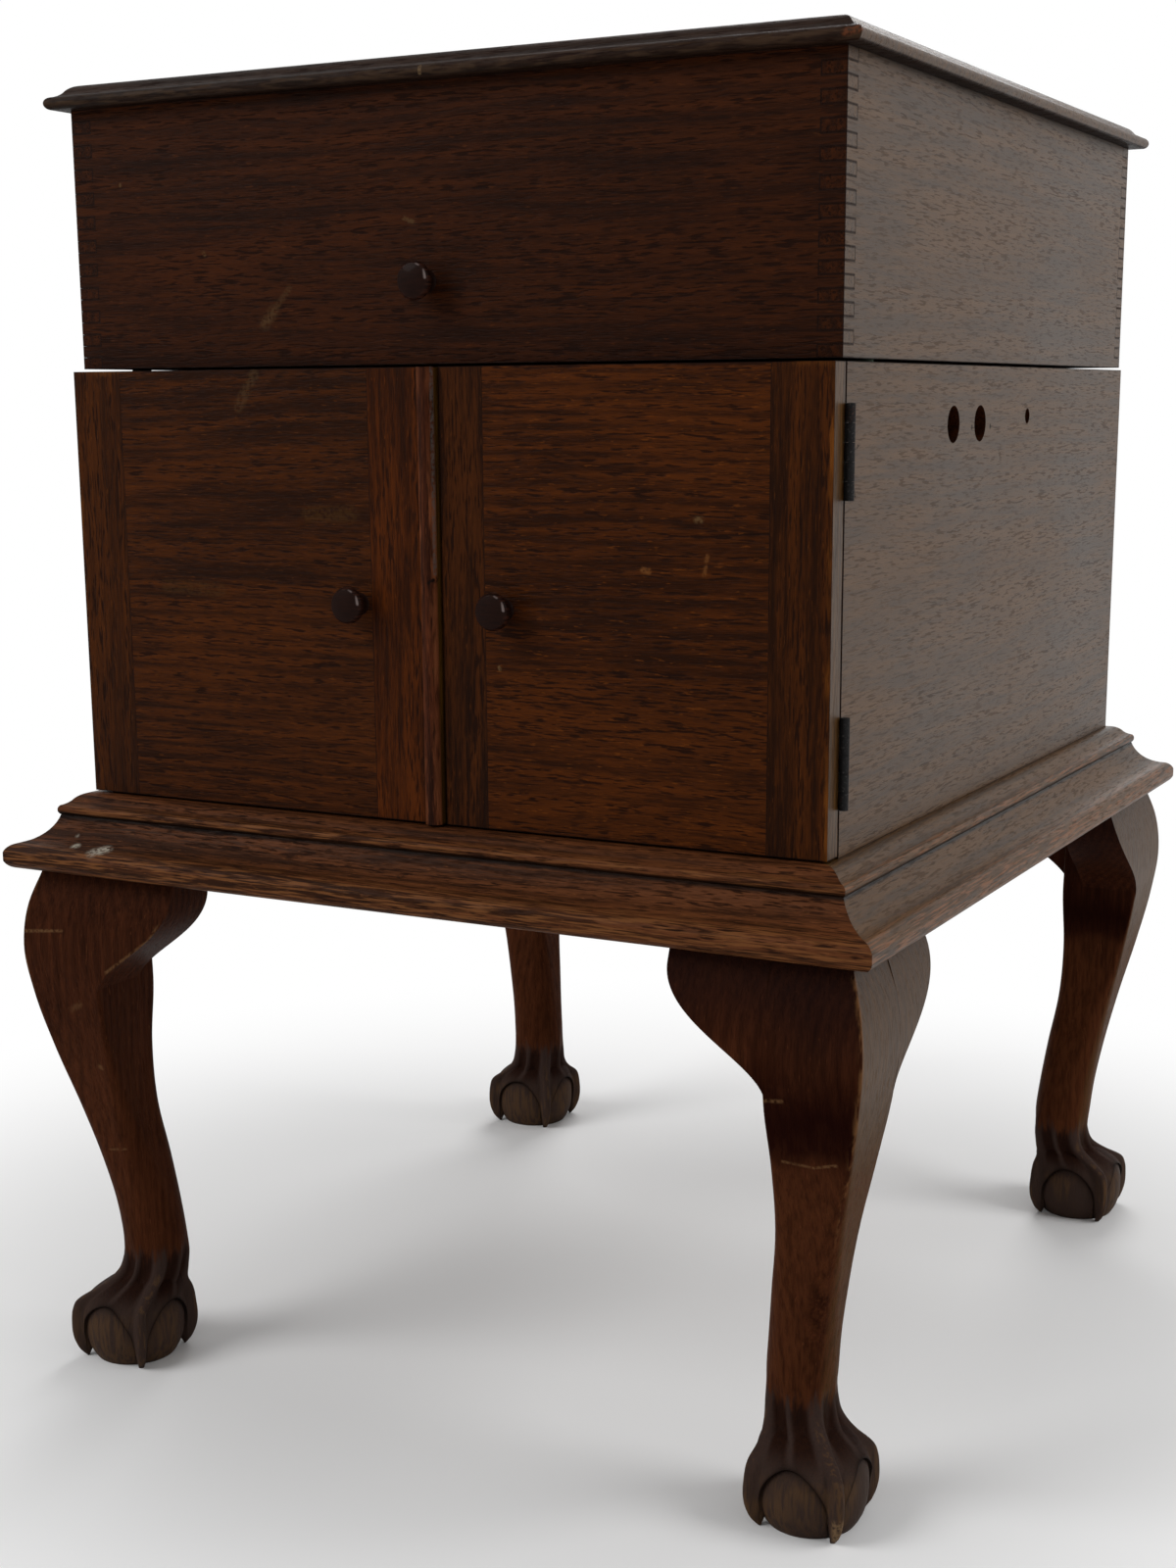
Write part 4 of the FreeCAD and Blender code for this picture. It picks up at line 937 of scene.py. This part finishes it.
# Painted highlights on the upper right of the rim: ends of short strokes, across and up from the knob's axis
RIM_HIGHLIGHTS = [((0.0028, 0.0096), (0.0046, 0.0086)), ((0.0080, 0.0060), (0.0088, 0.0014))]
RIM_HIGHLIGHTS_IN, RIM_HIGHLIGHTS_WIDTH = 0.0007, 0.0013
KNOB_RIM = (0.0085, 0.0104)
KNOB_GLOSS = {"Specular IOR Level": 0.02, "Coat Weight": 0.03, "Coat Roughness": 0.08}
KNOBS = ("hood_knob", "left_knob", "right_knob")


def turned(knob):
    """Dark turned wood with rings about the knob's axis, a polished coat and painted highlights on the rim.
    """
    f = Finish(f"turned_{knob}")
    low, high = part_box(knob)
    middle = (low + high) / 2
    flat = f.vector("MULTIPLY", f.vector("SUBTRACT", f.place, middle), (1, 0, 1))
    radius = f.vector("LENGTH", flat, out="Value")
    lines = f.noise(f.node("ShaderNodeCombineXYZ", {}, {0: radius, 1: f.y}), (1900, 1900, 0), 3)
    streak = f.noise(f.place, (150, 60, 900), 5)
    rim = radius.step(*KNOB_RIM) * streak.step(0.45, 0.65)
    colour = f.mix(0.6 * streak, KNOB_BLACK, KNOB_BROWN)
    colour = f.mix(0.5 * rim, colour, shades(KNOB_BROWN, 2.5))
    # Painted highlights on the rim
    for start, stop in RIM_HIGHLIGHTS:
        ends = [(middle.x + across, low.y + RIM_HIGHLIGHTS_IN, middle.z + up) for across, up in (start, stop)]
        colour = f.mix(0.8 * stroke(f, *ends, RIM_HIGHLIGHTS_WIDTH), colour, HIGHLIGHT_GREY)
    return f.surface(colour, 0.34 + 0.2 * streak, lines, 0.0001, KNOB_GLOSS)


for knob in KNOBS:
    dress(knob, turned(knob))
print("Knobs:", len(KNOBS))

# %% [markdown]
# ## Iron hinges and their screws
#
# The butt hinges are plain iron, black with old paint and bare where the knuckles rub. Each leaf is held
# by three slotted screws, which show when a door or the hood is open. A screw head is a shallow disc, and
# the slot is painted from a field that holds the distance across it, so it stays sharp on few faces.

# %% Iron
IRON_BLACK, IRON_BARE, RUST = (0.008, 0.0075, 0.0075), (0.060, 0.055, 0.052), (0.045, 0.016, 0.007)
SLOT_HALF_WIDTH = (0.00055, 0.0004)


def iron(name, slotted=False):
    """Black painted iron with rust freckles, and a dark slot where the piece has one."""
    f = Finish(name)
    coarse, fine = f.noise(f.place, (120, 120, 120), 2), f.noise(f.place, (900, 900, 900), 4)
    colour = f.mix(0.7 * fine.step(0.55, 0.75), IRON_BARE if slotted else IRON_BLACK, IRON_BARE)
    colour = f.mix(0.6 * coarse.step(0.58, 0.7) * fine.step(0.45, 0.6), colour, RUST)
    if slotted:
        groove = abs(f.node("ShaderNodeAttribute", {"attribute_name": "across"}, out="Fac"))
        colour = f.mix(groove.step(*SLOT_HALF_WIDTH), colour, CRACK)
    return f.surface(colour, 0.5 + 0.3 * coarse, fine, 0.0001, {"Specular IOR Level": 0.12})


hinge_iron = iron("hinge_iron")
hinge_nodes = [name for name in nodes if "hinge" in name]
for name in hinge_nodes:
    dress(name, hinge_iron)
print("Hinge nodes:", len(hinge_nodes))

# %% Screws
SCREW_RADIUS, SCREW_PROUD = 0.0023, 0.00003
LEAF, LEAF_PLAY = 0.0008, 0.0001
HINGE_HEIGHTS = (0.434, 0.5975)
SCREW_STEPS = np.array([-0.017, 0.0, 0.017])
SCREW_FROM_EDGE, SCREW_ZIGZAG = 0.0065, 0.0015
HOOD_HINGE_X, HOOD_SCREW_IN = 0.150, 0.004
CASE_EDGE, DOOR_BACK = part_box("case_right_side")[0].y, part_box("left_panel")[1].y


def screw_heads(centres, out, along):
    """Discs: the radius grows along the rows and the angle along the columns. out is the way a head
    faces, along the way its slot runs."""
    radius = SCREW_RADIUS * np.array([0, 0.5, 0.9, 1, 0])[:, None]
    proud = SCREW_PROUD * np.array([1, 1, 0.8, -2, -2])[:, None]
    angle = np.linspace(0, 2 * np.pi, 17)[None, :]
    out, along = np.array(out, float), np.array(along, float)
    across = np.cross(out, along)
    offset = ((radius * np.cos(angle))[..., None] * along + (radius * np.sin(angle))[..., None] * across
              + (proud + 0 * angle)[..., None] * out)
    return [offset + centre for centre in centres], [radius * np.sin(angle)] * len(centres)


def door_screws(side, y):
    """Three screws in each of the two leaves of a door, a little zigzag."""
    x = side * (CASE_HALF_WIDTH - SCREW_FROM_EDGE - SCREW_ZIGZAG * np.array([1, -1, 1]))
    return [(x[i], y, middle + SCREW_STEPS[i]) for middle in HINGE_HEIGHTS for i in range(3)]


def hood_screws(z):
    """Three screws in each of the two leaves of the hood, in a row."""
    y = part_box("hood_hinge_hood_leaves")[0].y + HOOD_SCREW_IN
    return [(side * HOOD_HINGE_X + step, y, z) for side in (-1, 1) for step in SCREW_STEPS]


case_leaf_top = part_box("case_right_side")[1].z + LEAF
# Body, places, the way the heads face and the way the slots run
screw_sets = {
    "left_case_screws": ("case", door_screws(-1, CASE_EDGE - LEAF), (0, -1, 0), (1, 0, 1)),
    "right_case_screws": ("case", door_screws(1, CASE_EDGE - LEAF), (0, -1, 0), (1, 0, -1)),
    "left_door_screws": ("left_door", door_screws(-1, DOOR_BACK + LEAF), (0, 1, 0), (1, 0, 1)),
    "right_door_screws": ("right_door", door_screws(1, DOOR_BACK + LEAF), (0, 1, 0), (1, 0, -1)),
    "hood_case_screws": ("case", hood_screws(case_leaf_top), (0, 0, 1), (1, 1, 0)),
    "hood_screws": ("hood", hood_screws(case_leaf_top + LEAF_PLAY), (0, 0, -1), (1, 1, 0)),
}
screw_iron = iron("screw_iron", slotted=True)
for name, (body, centres, out, along) in screw_sets.items():
    heads, slots = screw_heads(centres, out, np.array(along) / math.sqrt(2))
    screws = new_piece(name, heads, screw_iron, {"across": slots})
    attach(screws, body)
print("Screws:", sum(len(s[1]) for s in screw_sets.values()))

# %% [markdown]
# ## Felt buffers
#
# Two small discs of felt keep the hood off the case. A hairy mesh would be lost at this size. Felt has
# no weave: it is short fibres in all directions, so fine noise colours it and lifts it, and it has
# almost no gloss.

# %% Felt
FELT_DARK, FELT_PALE = (0.010, 0.016, 0.011), (0.040, 0.052, 0.036)

wool = Finish("grey_felt")
fuzz, tuft = wool.noise(wool.place, (2600, 2600, 2600), 3), wool.noise(wool.place, (500, 500, 500), 5)
felt_colour = wool.mix(0.5 * fuzz + 0.5 * tuft, FELT_DARK, FELT_PALE)
felt = wool.surface(felt_colour, 0.85 + 0.15 * fuzz, fuzz, 0.0003, {"Specular IOR Level": 0.1})
dress("hood_buffers", felt)
print("Felt: hood_buffers")
